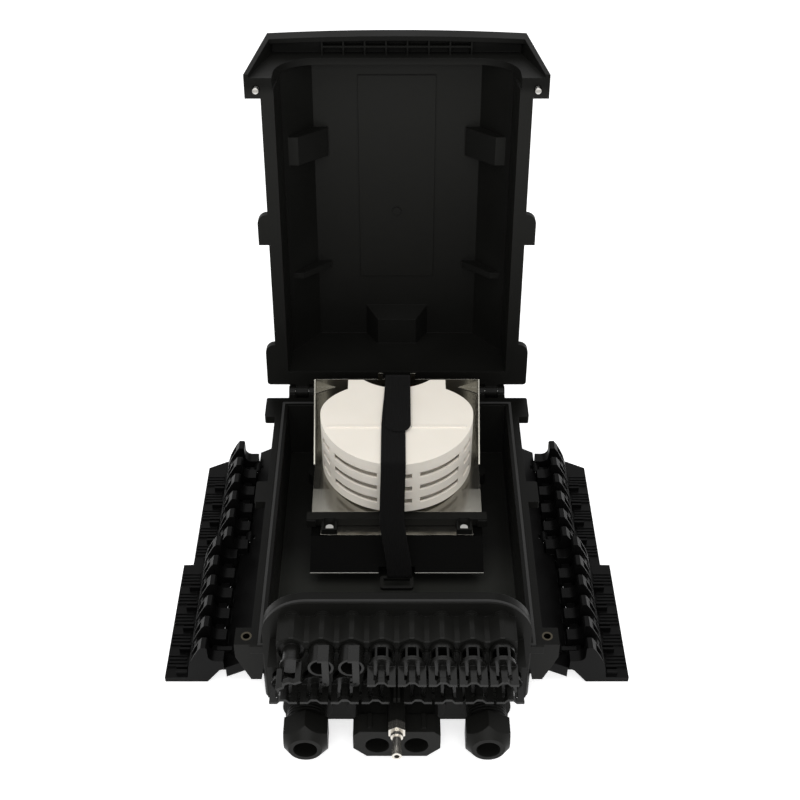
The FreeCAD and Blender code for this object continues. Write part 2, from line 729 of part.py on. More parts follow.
def hood_wire(z, half, back_half, back, reach):
    corner = (back + reach) / 2
    points = [at(half, reach, z), at(half, corner, z), at(back_half, back, z), at(-back_half, back, z),
              at(-half, corner, z), at(-half, reach, z)]
    edges = [Part.makeLine(points[i], points[i + 1]) for i in range(5)]
    edges.append(Part.Arc(points[5], at(0, reach + HOOD_BOW, z), points[0]).toShape())
    return Part.Wire(edges)


def hood_form():
    foot = hood_wire(LID_FOOT_Z, HOOD_FOOT_HALF, HOOD_FOOT_HALF, ARCH_U - HOOD_CHEEK,
                     HOOD_FOOT_REACH)
    top = hood_wire(LID_TOP_Z, HOOD_TOP_HALF, LID_TOP_HALF, ARCH_U - HOOD_FLARE, HOOD_TOP_REACH)
    return Part.makeLoft([foot, top], True, True)


def hood_recess():
    far = HOOD_TOP_REACH + HOOD_BOW + HOOD_WALL
    foot = lid_section(LID_FOOT_Z, HOOD_FOOT_HALF - HOOD_WALL, LIP_END, far)
    top = lid_section(LID_TOP_Z - LID_WALL, HOOD_TOP_HALF - HOOD_WALL, LIP_END, far)
    return Part.makeLoft([foot, top], True, True)


def hood_skirt(form):
    behind = form.copy()
    behind.translate(at(0, 0, 0) - at(0, HOOD_WALL, 0))
    low = LID_TOP_Z - HOOD_SKIRT
    front = HOOD_TOP_REACH + HOOD_BOW + CUT_OVER
    band = block((-HOOD_FOOT_HALF, HOOD_FOOT_HALF), (LIP_END, front), (low, LID_TOP_Z))
    return form.common(band).cut(behind)


def hood_grid():
    z0 = LID_TOP_Z - LID_WALL - GRID_DEPTH
    z1 = LID_TOP_Z - LID_WALL / 2
    u1 = HOOD_TOP_REACH - HOOD_WALL / 2
    half = GRID_PITCH * GRID_CELLS / 2
    ribs = []
    for i in range(GRID_CELLS + 1):
        x = GRID_PITCH * i - half
        ribs.append(block((x - GRID_RIB / 2, x + GRID_RIB / 2), (LIP_END - CUT_OVER, u1), (z0, z1)))
    middle = (LIP_END + u1) / 2
    ribs.append(block((-half, half), (middle - GRID_RIB / 2, middle + GRID_RIB / 2), (z0, z1)))
    return ribs


def upright_edges(tab, u):
    # The upright edges of a tab at its outer side and at one of its ends.
    return [e for e in tab.Edges if abs(e.tangentAt(e.FirstParameter).z) > UPRIGHT
            and e.CenterOfMass.x > RIM_HALF and abs(e.CenterOfMass.y - (HINGE_Y - u)) < TAB_FLAT]


def lid_tabs():
    solids = []
    for u0, u1 in TAB_SPANS:
        inner = RIM_HALF - RIM_WIDTH / 2
        outer = RIM_HALF + TAB_REACH
        tab = block((inner, outer), (u0, u1), (LID_FOOT_Z, LID_FOOT_Z + TAB_THICK))
        tab = tab.makeFillet(TAB_REACH - TAB_FLAT, upright_edges(tab, u1))
        if u0 == LID_START:
            tab = tab.makeFillet(TAB_CORNER, upright_edges(tab, u0))
        solids += both_sides(tab)
    return solids


def lid_knuckles():
    x0 = HINGE_X + KNUCKLE + KNUCKLE_GAP
    x1 = HINGE_X + HINGE_LENGTH - KNUCKLE - KNUCKLE_GAP
    barrel = rod_x(0, RIM_Z, HINGE_R, x0, x1)
    arm = block((x0, x1), (0, RIM_START + WALL), (LID_FOOT_Z, RIM_Z + HINGE_R))
    low = RIM_Z + HINGE_R + HINGE_PLAY
    strip = block((HINGE_X, HINGE_X + HINGE_LENGTH), (0, RIM_START + WALL), (low, low + HINGE_STRIP))
    return both_sides(barrel) + both_sides(arm) + both_sides(strip)


def lid_pads():
    solids = []
    z_top = LID_TOP_Z - LID_WALL / 2
    outer = TUB_OUT
    edge = LID_TOP_HALF
    slope = [(edge - PAD_IN, z_top), (edge - PAD_IN, LID_TOP_Z - 2 * LID_WALL),
             (edge - PAD_RIDGE, RIM_Z + PAD_FACE), (edge + PAD_OUT, RIM_Z + PAD_FOOT),
             (outer, RIM_Z + PAD_FOOT), (outer, z_top)]
    for u0, u1 in PAD_SPANS:
        solids += both_sides(prism_u(slope, u0, u1))
    return solids


def lid_bump(inset):
    z_foot = LID_TOP_Z
    z_face = LID_TOP_Z - LID_WALL - BUMP_DEPTH + inset
    far = TUB_FAR + LID_END_IN + inset
    foot = lid_section(z_foot, BUMP_FOOT_HALF - inset, far, BUMP_FOOT_END - inset)
    face = lid_section(z_face, BUMP_HALF - inset, far, BUMP_END - inset)
    return Part.makeLoft([foot, face], True, True)


def lid_closed():
    hood = hood_form()
    outer = lid_form(0, LID_FOOT_Z, LIP_END)
    flange = block((-RIM_HALF, RIM_HALF), (LID_START, ARCH_END), (LID_FOOT_Z, LID_FOOT_Z + LID_FLANGE))
    shell = joined([outer, flange, hood])
    shell = shell.cut([lid_form(LID_WALL, LID_FOOT_Z, LIP_U), hood_recess()])
    inner_top = LID_TOP_Z - LID_WALL
    spine = block((-SPINE_HALF, SPINE_HALF), SPINE_ENDS, (inner_top - SPINE_STEP, LID_TOP_Z - LID_WALL / 2))
    gate = rod_z(0, GATE_U, GATE_R, inner_top - 2 * SPINE_STEP, inner_top)
    inside = lid_pads() + [lid_bump(0), spine, gate]
    limit = lid_form(LID_WALL / 2, LID_FOOT_Z, LIP_U)
    parts = [shell, hood_skirt(hood)] + [solid.common(limit) for solid in inside]
    parts += hood_grid() + lid_tabs() + lid_knuckles()
    shell = joined(parts)
    opening = arch(-LIP_GAP, LID_FOOT_Z - CUT_OVER, ARCH_U - LIP_GAP, LIP_END)
    wells = both_sides(rod_z(SCREW_X, SCREW_U, WELL_R, RIM_Z + SCREW_SEAT, LID_TOP_Z))
    holes = both_sides(rod_z(SCREW_X, SCREW_U, SCREW_R + SCREW_PLAY, LID_FOOT_Z, RIM_Z + SCREW_SEAT))
    cuts = [opening, lid_bump(LID_WALL)] + wells + holes + hinge_bore()
    return shell.cut(cuts).removeSplitter()


def swung_open(shape):
    turned = shape.copy()
    turned.rotate(at(0, 0, RIM_Z), FreeCAD.Vector(1, 0, 0), -LID_OPEN)
    return turned


def captive_screw():
    seat = RIM_Z + SCREW_SEAT
    shank = rod_z(SCREW_X, SCREW_U, SCREW_R, LID_FOOT_Z - SCREW_TIP, seat)
    head = rod_z(SCREW_X, SCREW_U, SCREW_HEAD_R, seat, seat + SCREW_HEAD_H)
    slot = block((SCREW_X - SCREW_HEAD_R, SCREW_X + SCREW_HEAD_R),
                 (SCREW_U - SCREW_SLOT / 2, SCREW_U + SCREW_SLOT / 2),
                 (seat + SCREW_HEAD_H / 2, seat + SCREW_HEAD_H))
    return swung_open(shank.fuse(head).cut(slot).removeSplitter())


def screw_insert():
    bore = rod_z(SCREW_X, SCREW_U, SCREW_R + SCREW_PLAY / 2, RIM_Z - INSERT_LENGTH, RIM_Z)
    return insert_hole().cut(bore)


def hinge_pin():
    return rod_x(0, RIM_Z, PIN_R, HINGE_X, HINGE_X + HINGE_LENGTH)


def saddle(x, z, start, end):
    # An open frame: two flat cheeks and a front bar that arches over in the middle.
    half = SADDLE_WIDTH / 2
    top = z + SADDLE_TOP
    low = top - SADDLE_PLATE
    solids = []
    for x0 in (x - half, x + half - SADDLE_CHEEK):
        solids.append(block((x0, x0 + SADDLE_CHEEK), (start, end), (low, top)))
    peak = top + HUMP_RISE
    upper = [(x - half, top), (x - HUMP_FOOT, top), (x - HUMP_HALF, peak), (x + HUMP_HALF, peak),
             (x + HUMP_FOOT, top), (x + half, top)]
    lower = [(px, pz - SADDLE_PLATE) for px, pz in reversed(upper)]
    solids.append(prism_u(upper + lower, end - SADDLE_BAR, end))
    return joined(solids)


def crown(x, z, start, end):
    outer = PORT_BORE - INSERT_PLAY
    ring = tube_u(x, z, outer, outer - CROWN_WALL, start, end)
    u1 = end - (CROWN_LENGTH - WINDOW_LENGTH) / 2
    window = block((x - WINDOW_WIDTH / 2, x + WINDOW_WIDTH / 2), (u1 - WINDOW_LENGTH, u1),
                   (z, z + outer + CUT_OVER))
    for angle in (-WINDOW_ANGLE, 0, WINDOW_ANGLE):
        turned = window.copy()
        turned.rotate(at(x, 0, z), FreeCAD.Vector(0, 1, 0), angle)
        ring = ring.cut(turned)
    return ring


def port_insert(x, z, short):
    start = PORT_FRONT - PORT_BORE_DEPTH
    crown_end = PORT_FRONT + CROWN_LENGTH - short
    end = crown_end + SADDLE_LENGTH
    collar = rod_u(x, z, COLLAR_R, crown_end, crown_end + COLLAR_LENGTH)
    neck = rod_u(x, z, NECK_R, crown_end, crown_end + COLLAR_LENGTH + NECK_LENGTH)
    peak = z + SADDLE_TOP + HUMP_RISE - SADDLE_PLATE / 2
    wedge = [(x - TONGUE_HALF, z), (x - HUMP_HALF, peak), (x + HUMP_HALF, peak), (x + TONGUE_HALF, z)]
    tongue = prism_u(wedge, crown_end + COLLAR_LENGTH + NECK_LENGTH / 2, end - SADDLE_BAR / 2)
    return joined([crown(x, z, start, crown_end), collar, neck, tongue, saddle(x, z, crown_end, end)])


def port_plug():
    x = UPPER_XS[0]
    z = RIM_Z + UPPER_Z
    start = PORT_FRONT - PORT_BORE_DEPTH
    seat = rod_u(x, z, PORT_BORE - INSERT_PLAY, start, PORT_FRONT - WALL)
    stem = rod_u(x, z, PLUG_R, start, PORT_FRONT + PLUG_LENGTH)
    rim = rod_u(x, z, PLUG_RIM, PORT_FRONT + PLUG_LENGTH, PORT_FRONT + PLUG_LENGTH + COLLAR_LENGTH)
    return joined([seat, stem, rim])


def port_saddle():
    x = UPPER_XS[0]
    z = RIM_Z + UPPER_Z
    start = PORT_FRONT + PLUG_LENGTH + COLLAR_LENGTH + INSERT_PLAY
    loose = saddle(x, z, start, PORT_FRONT + CROWN_LENGTH + SADDLE_LENGTH)
    loose.rotate(at(x, PORT_FRONT, z), FreeCAD.Vector(0, 1, 0), -TILT_1)
    return loose


def port_ring(index):
    x = UPPER_XS[index]
    z = RIM_Z + UPPER_Z
    outer = PORT_BORE - INSERT_PLAY
    end = PORT_FRONT + RING_LENGTH
    ring = tube_u(x, z, outer, outer - RING_WALL, PORT_FRONT - PORT_BORE_DEPTH, end)
    x0 = x + LATCH_SHIFT - LATCH_WIDTH / 2
    x1 = x0 + LATCH_WIDTH
    top = z + outer + LATCH_RISE
    low = top - LATCH_DROP
    strip = block((x0, x1), (end, end + LATCH_THICK), (low, top))
    hub = block((x0 - LATCH_HUB, x1), (PORT_FRONT + LATCH_BACK, end + LATCH_THICK), (top - RING_WALL, top))
    hook_x = (x0 + x1) / 2 - HOOK_SHIFT
    hook = tube_u(hook_x, low, HOOK_R, HOOK_HOLE, end, end + LATCH_THICK)
    mouth = block((hook_x - 2 * HOOK_R, hook_x - HOOK_HOLE), (end, end + LATCH_THICK),
                  (low, low + 2 * HOOK_R))
    hook = hook.cut(mouth)
    return joined([ring, hub, strip, hook])


def thread_rings(body):
    u0 = END_WALL + GLAND_FLANGE + THREAD_PITCH / 2
    for i in range(THREAD_RINGS):
        u = u0 + THREAD_PITCH * i
        ring = tube_u(GLAND_X, GLAND_Z, GLAND_THREAD_R + CUT_OVER, GLAND_THREAD_R - THREAD_DEPTH, u,
                      u + THREAD_PITCH / 2)
        body = body.cut(ring)
    return body


def gland_body():
    flange_end = END_WALL + GLAND_FLANGE
    shank = rod_u(GLAND_X, GLAND_Z, SHANK_R - INSERT_PLAY, ARCH_END - WALL, END_WALL)
    flange = rod_u(GLAND_X, GLAND_Z, GLAND_FLANGE_R, END_WALL, flange_end)
    thread = rod_u(GLAND_X, GLAND_Z, GLAND_THREAD_R, flange_end, flange_end + GLAND_THREAD)
    body = thread_rings(joined([shank, flange, thread]))
    return body.cut(rod_u(GLAND_X, GLAND_Z, GLAND_HOLE, ARCH_END - WALL, flange_end + GLAND_THREAD))


def gland_nut():
    end = NUT_U + NUT_LENGTH
    solid = prism_u(hexagon(GLAND_X, GLAND_Z, NUT_FLATS), NUT_U, end)
    corner = NUT_FLATS / math.sqrt(3)
    barrel = rod_u(GLAND_X, GLAND_Z, corner, NUT_U, end - NUT_DOME)
    dome = Part.makeCone(NUT_FACE_R, corner, NUT_DOME, at(GLAND_X, end, GLAND_Z), FreeCAD.Vector(0, 1, 0))
    solid = solid.common(barrel.fuse(dome).removeSplitter())
    seat_end = END_WALL + GLAND_FLANGE + GLAND_THREAD + NUT_PLAY
    seat = rod_u(GLAND_X, GLAND_Z, GLAND_THREAD_R + PIN_PLAY, NUT_U, seat_end)
    return solid.cut(seat).cut(rod_u(GLAND_X, GLAND_Z, GLAND_HOLE, NUT_U, end))


def gland_seal():
    u1 = ARCH_END - WALL
    return tube_u(GLAND_X, GLAND_Z, SHANK_R + SEAL_WALL, GLAND_HOLE, u1 - SEAL_WALL, u1)


def stadium(half, radius, u0, u1):
    x = half - radius
    ends = [rod_u(-x, GLAND_Z, radius, u0, u1), rod_u(x, GLAND_Z, radius, u0, u1)]
    middle = block((-x, x), (u0, u1), (GLAND_Z - radius, GLAND_Z + radius))
    return joined(ends + [middle])


def oval_ways(radius, u0, u1):
    return both_sides(rod_u(OVAL_HOLE_X, GLAND_Z, radius, u0, u1))


def oval_gland_body():
    u0 = ARCH_END - WALL
    flange = stadium(OVAL_FLANGE_HALF, OVAL_FLANGE_R, END_WALL, END_WALL + GLAND_FLANGE)
    trunk = stadium(OVAL_HALF - OVAL_STEP, OVAL_TALL / 2 - OVAL_STEP, END_WALL, END_WALL + OVAL_BODY)
    shanks = oval_ways(SHANK_R - INSERT_PLAY, u0, END_WALL)
    solid = joined([flange, trunk] + shanks)
    boss = rod_u(0, VALVE_Z, VALVE_BOSS_R + NUT_PLAY, END_WALL, END_WALL + OVAL_BODY)
    return solid.cut(oval_ways(GLAND_HOLE, u0, END_WALL + OVAL_BODY) + [boss])


def oval_gland_cap():
    half = OVAL_HALF
    tall = OVAL_TALL / 2
    cut = OVAL_CHAMFER
    low = OVAL_RAISE - tall
    face = [(-half, low + cut), (-half + cut, low), (half - cut, low), (half, low + cut),
            (half, tall - cut / 2), (half - cut / 2, tall), (-half + cut / 2, tall), (-half, tall - cut / 2)]
    u0 = END_WALL + OVAL_BODY
    u1 = END_WALL + OVAL_FRONT
    solid = prism_u([(x, GLAND_Z + z) for x, z in face], u0, u1)
    solids = [solid]
    for x in (-OVAL_RIB_X, OVAL_RIB_X):
        solids.append(block((x - OVAL_RIB / 2, x + OVAL_RIB / 2), (u0, u1 - OVAL_RIB),
                            (GLAND_Z + tall - CUT_OVER, GLAND_Z + tall + OVAL_RIB / 2)))
    solid = joined(solids).cut(oval_ways(GLAND_HOLE, u0, u1))
    return solid.cut(rod_u(0, VALVE_Z, VALVE_BOSS_R + NUT_PLAY, u0, u1))


def oval_gland_seal():
    u1 = ARCH_END - WALL
    plate = stadium(OVAL_HOLE_X + SHANK_R + SEAL_WALL / 2, SHANK_R + SEAL_WALL / 2, u1 - SEAL_WALL, u1)
    return plate.cut(oval_ways(GLAND_HOLE, u1 - SEAL_WALL, u1))


def valve_nut():
    u0 = END_WALL + VALVE_BOSS
    nut = prism_u(hexagon(0, VALVE_Z, VALVE_NUT_R * math.sqrt(3)), u0, u0 + VALVE_NUT)
    return nut.cut(rod_u(0, VALVE_Z, VALVE_STEM_R, u0, u0 + VALVE_NUT))


def valve_stem():
    u0 = END_WALL + VALVE_BOSS
    u1 = u0 + VALVE_NUT
    u2 = u1 + VALVE_COLLAR
    u3 = u2 + VALVE_STEM
    u4 = u3 + VALVE_TIP
    collar = rod_u(0, VALVE_Z, VALVE_COLLAR_R, u1, u2)
    stem = rod_u(0, VALVE_Z, VALVE_STEM_R, u0, u3)
    tip = rod_u(0, VALVE_Z, VALVE_TIP_R, u3, u4)
    return joined([collar, stem, tip]).cut(rod_u(0, VALVE_Z, VALVE_BORE, u2, u4))


def half_oval(half, length, sign, z0, z1):
    centre = at(0, TRAY_MID, z0)
    side = centre + FreeCAD.Vector(half, 0, 0)
    end = centre + FreeCAD.Vector(0, length, 0)
    ellipse = Part.Ellipse(side, end, centre) if half > length else Part.Ellipse(end, side, centre)
    whole = Part.Face(Part.Wire(ellipse.toShape())).extrude(FreeCAD.Vector(0, 0, z1 - z0))
    span = sorted((TRAY_MID, TRAY_MID + sign * 2 * length))
    return whole.common(block((-2 * half, 2 * half), span, (z0, z1)))


def tray_outline(inset, z0, z1):
    half = TRAY_HALF - inset
    front = half_oval(half, TRAY_FRONT - inset, 1, z0, z1)
    return joined([front, half_oval(half, TRAY_REAR - inset, -1, z0, z1)])


def tray_form(z0, z1):
    solids = [tray_outline(0, z0, z1)]
    tab = block(TRAY_TAB, (TRAY_TAB_END, TRAY_MID), (z0, z1))
    solids += both_sides(tab)
    form = joined(solids)
    notch = rod_z(0, TRAY_NOTCH_U, TRAY_NOTCH_R, z0, z1)
    return form.cut(notch)


def splice_tray(index):
    z0 = TRAY_BASE + TRAY_PITCH * index
    last = index == TRAY_COUNT - 1
    z1 = z0 + (TRAY_LAST if last else TRAY_PITCH)
    form = tray_form(z0, z1)
    notch_guard = rod_z(0, TRAY_NOTCH_U, TRAY_NOTCH_R + TRAY_WALL, z0, z1)
    pocket = tray_outline(TRAY_WALL, z0 + TRAY_FLOOR, z1).cut(notch_guard)
    tray = form.cut(pocket)
    spool = tube_z(SPOOL_X, TRAY_MID, SPOOL_R, SPOOL_R - TRAY_FLOOR, z0 + TRAY_FLOOR / 2, z1 - TRAY_FLOOR)
    tray = joined([tray] + both_sides(spool))
    if not last:
        for x in SLOT_SPANS:
            front = (TRAY_MID + TRAY_FRONT / 4, TRAY_MID + 2 * TRAY_FRONT)
            tray = tray.cut(block(x, front, (z1 - SLOT_HEIGHT, z1)))
    return tray.removeSplitter()


def tray_cover():
    top = RIM_Z + TRAY_TOP
    cover = tray_form(top - COVER, top)
    half = COVER_BEAD_WIDTH / 2
    bead = block((STRAP_WIDTH / 2 + COVER_BEAD_WIDTH, TRAY_HALF - COVER_BEAD_IN),
                 (COVER_CREASE_U - half, COVER_CREASE_U + half), (top - COVER / 2, top + COVER_BEAD))
    return joined([cover] + both_sides(bead))


def tray_bracket():
    top = TRAY_BASE
    low = top - SHEET
    back_top = RIM_Z + BACK_RISE
    front = BACK_U + SHEET
    back = block((-SHELF_HALF, SHELF_HALF), (BACK_U, front), (FLOOR, back_top))
    foot = block((-SHELF_HALF, SHELF_HALF), (BACK_U, BACK_U + FOOT), (FLOOR, FLOOR + SHEET))
    edge = [(BACK_U, low), (BACK_U, top), (SHELF_FOLD, top), (SHELF_END, top - SHELF_FALL),
            (SHELF_END, STEP_Z), (STEP_END, STEP_Z), (STEP_END, STEP_Z - SHEET),
            (SHELF_END - SHEET, STEP_Z - SHEET), (SHELF_END - SHEET, low - SHELF_FALL), (SHELF_FOLD, low)]
    shelf = prism_x(edge, -SHELF_HALF, SHELF_HALF)
    side = (STEP_HALF, SHELF_HALF + CUT_OVER)
    trim = block(side, (SHELF_END, STEP_END + CUT_OVER), (STEP_Z - SHEET, STEP_Z))
    shelf = shelf.cut(both_sides(trim))
    cheek = prism_x([(BACK_U, low), (BACK_U, back_top), (front, back_top), (SIDE_FOOT, top), (SIDE_FOOT, low)],
                    SHELF_HALF, SHELF_HALF + SHEET)
    gusset = prism_z([(SHELF_HALF - GUSSET, front), (SHELF_HALF, front), (SHELF_HALF, front + GUSSET / 2)],
                     back_top - GUSSET / 2 - SHEET, back_top - GUSSET / 2)
    hoop = block((HOOP_HALF, HOOP_HALF + HOOP_TAB), (BACK_U, front), (back_top, back_top + HOOP_RISE))
    holes = both_sides(rod_z(BOSS_X, BOSS_U, BOLT_R, STEP_Z - SHEET, STEP_Z))
    solids = [back, foot, shelf] + both_sides(cheek) + both_sides(gusset) + both_sides(hoop)
    return joined(solids).cut(holes)


def tray_hinge_bar():
    z0 = STEP_Z
    u1 = BAR_U + BAR_DEPTH
    bar = block((-BAR_HALF, BAR_HALF), (SHELF_END, u1), (BAR_TOP - BAR_TALL, BAR_TOP))
    web = block((-STEP_HALF, STEP_HALF), (SHELF_END, SHELF_END + POCKET_WALL), (z0, BAR_TOP))
    end = block((BAR_HALF - BAR_END, BAR_HALF), (SHELF_END, u1 + POCKET_WALL), (z0, BAR_TOP - BAR_STEP))
    half = POCKET / 2
    cup = block((BOSS_X - half, BOSS_X + half), (SHELF_END, BOSS_U + half), (z0, z0 + POCKET_TALL))
    room = half - POCKET_WALL
    hollow = block((BOSS_X - room, BOSS_X + room), (BOSS_U - room, BOSS_U + room), (z0, BAR_TOP))
    solids = [bar, web] + both_sides(end) + both_sides(cup)
    return joined(solids).cut(both_sides(hollow))


def bracket_screws():
    solids = []
    for x in (-BOSS_X, BOSS_X):
        shank = rod_z(x, BOSS_U, BOLT_R, STEP_Z - 2 * SHEET - BOLT_LENGTH + BOLT_SPARE, STEP_Z)
        head = rod_z(x, BOSS_U, BOLT_HEAD_R, STEP_Z, STEP_Z + BOLT_HEAD)
        solids.append(shank.fuse(head).removeSplitter())
    return Part.makeCompound(solids)


def front_panel():
    z1 = STEP_Z - SHEET
    z0 = z1 - SHEET
    u0 = BOSS_U - PANEL_LAP
    edge = [(u0, z0), (u0, z1), (STEP_END, z1), (PANEL_END, z1 - PANEL_FALL), (PANEL_END, z0 - PANEL_FALL),
            (STEP_END, z0)]
    panel = prism_x(edge, -PANEL_HALF, PANEL_HALF)
    notch = block((-PANEL_NOTCH, PANEL_NOTCH), (PANEL_END - PANEL_NOTCH_DEPTH, PANEL_END + CUT_OVER),
                  (0, z1))
    holes = both_sides(rod_z(BOSS_X, BOSS_U, BOLT_R, z0, z1))
    return panel.cut([notch] + holes)


def strap_corner():
    # Where the strap leaves the top of the stack.
    return TRAY_MID + TRAY_FRONT + STRAP_CLEAR


def strap():
    z0 = RIM_Z + TRAY_TOP + STRAP_CLEAR
    z1 = z0 + STRAP_THICK
    u0 = BACK_U + SHEET + STRAP_CLEAR
    corner = strap_corner()
    end = PANEL_END + BUCKLE_OUT + STRAP_CLEAR
    z_end = STEP_Z - PANEL_FALL
    outer = corner + STRAP_TURN
    side = [(u0, z0), (corner, z0), (end, z_end), (end + STRAP_RUN, z_end), (outer, z1), (u0, z1)]
    ribbon = prism_x(side, -STRAP_WIDTH / 2, STRAP_WIDTH / 2)
    tongue = block((-STRAP_WIDTH / 2, STRAP_WIDTH / 2), (u0, TONGUE_END), (z1, z1 + STRAP_THICK))
    tip = rod_z(0, TONGUE_END, STRAP_WIDTH / 2, z1, z1 + STRAP_THICK)
    return joined([ribbon, tongue, tip])


def strap_buckle():
    half = STRAP_WIDTH / 2 + BUCKLE_PLAY
    top = STEP_Z - PANEL_FALL - STRAP_CLEAR
    u0 = PANEL_END + BUCKLE_OUT
    u1 = u0 + BUCKLE_TALL
    wide = half + BUCKLE_WALL
    outer = rounded_block((-wide, wide), (u0, u1), (top - BUCKLE_WALL, top), BUCKLE_WALL)
    hole = block((-half, half), (u0 + BUCKLE_WALL, u1 - BUCKLE_WALL), (top - BUCKLE_WALL, top))
    return outer.cut(hole)


def rail_z(x):
    return RAIL_TOP - RAIL_FALL * (x - TUB_OUT)


def rail_length(outer, u0, u1):
    plate = [(TUB_OUT, rail_z(TUB_OUT)), (outer, rail_z(outer)), (outer, rail_z(outer) - RAIL_THICK),
             (TUB_OUT, rail_z(TUB_OUT) - RAIL_THICK)]
    return prism_u(plate, u0, u1)


def rail_rib(outer, u0):
    lip = [(TUB_OUT, rail_z(TUB_OUT)), (outer, rail_z(outer)), (outer, rail_z(outer) - RAIL_LIP),
           (TUB_OUT, rail_z(TUB_OUT) - RAIL_LIP)]
    return prism_u(lip, u0, u0 + RAIL_RIB)


def rail_apron(outer, u0, u1):
    web = block((outer - APRON, outer), (u0, u1), (APRON_Z - APRON, rail_z(outer)))
    return web.fuse(block((outer - APRON, outer + APRON_OUT), (u0, u1), (APRON_Z - APRON, APRON_Z)))


def hinge_stations():
    # Middles of three gaps between hooks: the nearest one, and the first and last of the far half.
    gap = WING_RIB + (WING_PITCH - WING_RIB) / 2
    return [WING_NEAR - gap, WING_FAR_START - gap, WING_FAR + gap]


def wing_rail():
    far_end = RAIL_FAR
    step = WING_SPLIT + RAIL_GAP
    flange = block((TUB_OUT, TUB_OUT + RAIL_FLANGE), (far_end, WING_NEAR), (RAIL_FLANGE_FOOT, RAIL_TOP))
    solids = [rail_length(RAIL_NEAR_EDGE, step, WING_NEAR), rail_length(RAIL_FAR_EDGE, far_end, step), flange,
              rail_rib(RAIL_NEAR_EDGE, WING_NEAR - RAIL_RIB), rail_rib(RAIL_FAR_EDGE, far_end),
              rail_apron(RAIL_NEAR_EDGE, step, WING_NEAR - RAIL_RIB), rail_apron(RAIL_FAR_EDGE, far_end, step)]
    half = WING_EYE / 2 + WING_EYE_GAP
    cuts = []
    for u in hinge_stations():
        for start in (u - half - RAIL_EYE, u + half):
            solids.append(rod_u(WING_AXIS_X, WING_AXIS_Z, WING_EYE_R, start, start + RAIL_EYE))
        room = (WING_AXIS_X - WING_EYE_R - RAIL_GAP, WING_IN)
        cuts.append(block(room, (u - half, u + half), (APRON_Z, RIM_Z)))
        reach = half + RAIL_EYE
        cuts.append(rod_u(WING_AXIS_X, WING_AXIS_Z, WING_PIN_R + PIN_PLAY, u - reach, u + reach))
    for u in RAIL_SCREW_UPS:
        cuts.append(rod_x(u, RAIL_SCREW_Z, RAIL_SCREW_R, TUB_OUT, TUB_OUT + RAIL_FLANGE))
    return joined(solids).cut(cuts).removeSplitter()


def rail_screws():
    solids = []
    for u in RAIL_SCREW_UPS:
        shank = rod_x(u, RAIL_SCREW_Z, RAIL_SCREW_R, TUB_IN, TUB_OUT + RAIL_FLANGE)
        head_x = TUB_OUT + RAIL_FLANGE
        head = rod_x(u, RAIL_SCREW_Z, RAIL_SCREW_HEAD_R, head_x, head_x + RAIL_SCREW_HEAD)
        solids += both_sides(shank.fuse(head).removeSplitter())
    return Part.makeCompound(solids)


def wing_hook(inner, u0):
    horn = inner + WING_REACH
    bend = horn - WING_BEND
    top = WING_TIP_Z + WING_BEND
    back = [(horn + out, WING_HORN_Z - down) for out, down in WING_BACK]
    section = [(inner, WING_TIP_Z), (bend, WING_TIP_Z), (horn, top), (horn, WING_HORN_Z - WING_BROW),
               (horn + WING_BROW, WING_HORN_Z)] + back
    section += [(slope_foot(inner) + WING_SPREAD, 0), (inner + WING_CHAMFER, 0),
                (inner + WING_HEEL, WING_CHAMFER_Z), (inner, WING_CHAMFER_Z + WING_CHIN)]
    hook = prism_u(section, u0, u0 + WING_RIB)
    return hook.cut(rod_u(bend, top, WING_BEND, u0, u0 + WING_RIB))


def hook_pocket(inner, u0):
    horn = inner + WING_REACH
    run = WING_BACK[1:4]
    outside = [(horn + out + CUT_OVER, WING_HORN_Z - down) for out, down in run]
    inside = [(horn + out - POCKET_DEPTH, WING_HORN_Z - down) for out, down in reversed(run)]
    return prism_u(outside + inside, u0 + POCKET_WALL, u0 + WING_RIB - POCKET_WALL)


def wing_plate(inner, u0, u1):
    start = inner + WING_CHAMFER
    outer = inner + WING_WIDTH
    section = [(start, 0), (outer, 0), (outer, WING_EDGE), (outer - WING_STRIP, WING_STRIP_Z),
               (start + WING_TOE, WING_PLATE), (start, WING_PLATE)]
    return prism_u(section, u0, u1)


def wing_spine(inner, u0, u1):
    start = inner + WING_CHAMFER
    heel = inner + WING_HEEL
    top = WING_CHAMFER_Z + WING_SPINE_RISE
    section = [(start, 0), (start + WING_TOE, 0), (start + WING_TOE, WING_PLATE), (heel + WING_SPINE, top),
               (heel, top), (heel, WING_CHAMFER_Z)]
    return prism_u(section, u0, u1)


def far_corner(outer, u0):
    past = outer + CUT_OVER
    edge = [(outer - WING_CORNER_RUN, u0 - CUT_OVER), (past, u0 - CUT_OVER), (past, u0 + WING_CORNER)]
    return prism_z(edge, -CUT_OVER, RIM_Z)


def wing_teeth(inner, u0):
    outer = inner + WING_WIDTH
    solids = []
    x0 = outer - WING_STRIP - WING_SPREAD
    middle = u0 + WING_RIB / 2
    for side in (-1, 1):
        u = middle + side * TOOTH_GAP / 2
        solids.append(block((x0, x0 + TOOTH_LENGTH), (u - TOOTH_WIDTH / 2, u + TOOTH_WIDTH / 2),
                            (WING_PLATE, WING_STRIP_Z + TOOTH_HEIGHT)))
    step = (WING_PITCH - TOOTH_GAP) / (FINE_COUNT + 1)
    for i in range(FINE_COUNT):
        u = middle - TOOTH_GAP / 2 - step * (i + 1)
        solids.append(block((x0 + WING_SPREAD, outer - CUT_OVER), (u - TOOTH_WIDTH / 2, u + TOOTH_WIDTH / 2),
                            (WING_PLATE, WING_EDGE + FINE_HEIGHT)))
    return solids


def slope_foot(inner):
    return inner + WING_REACH + WING_BACK[-1][0]


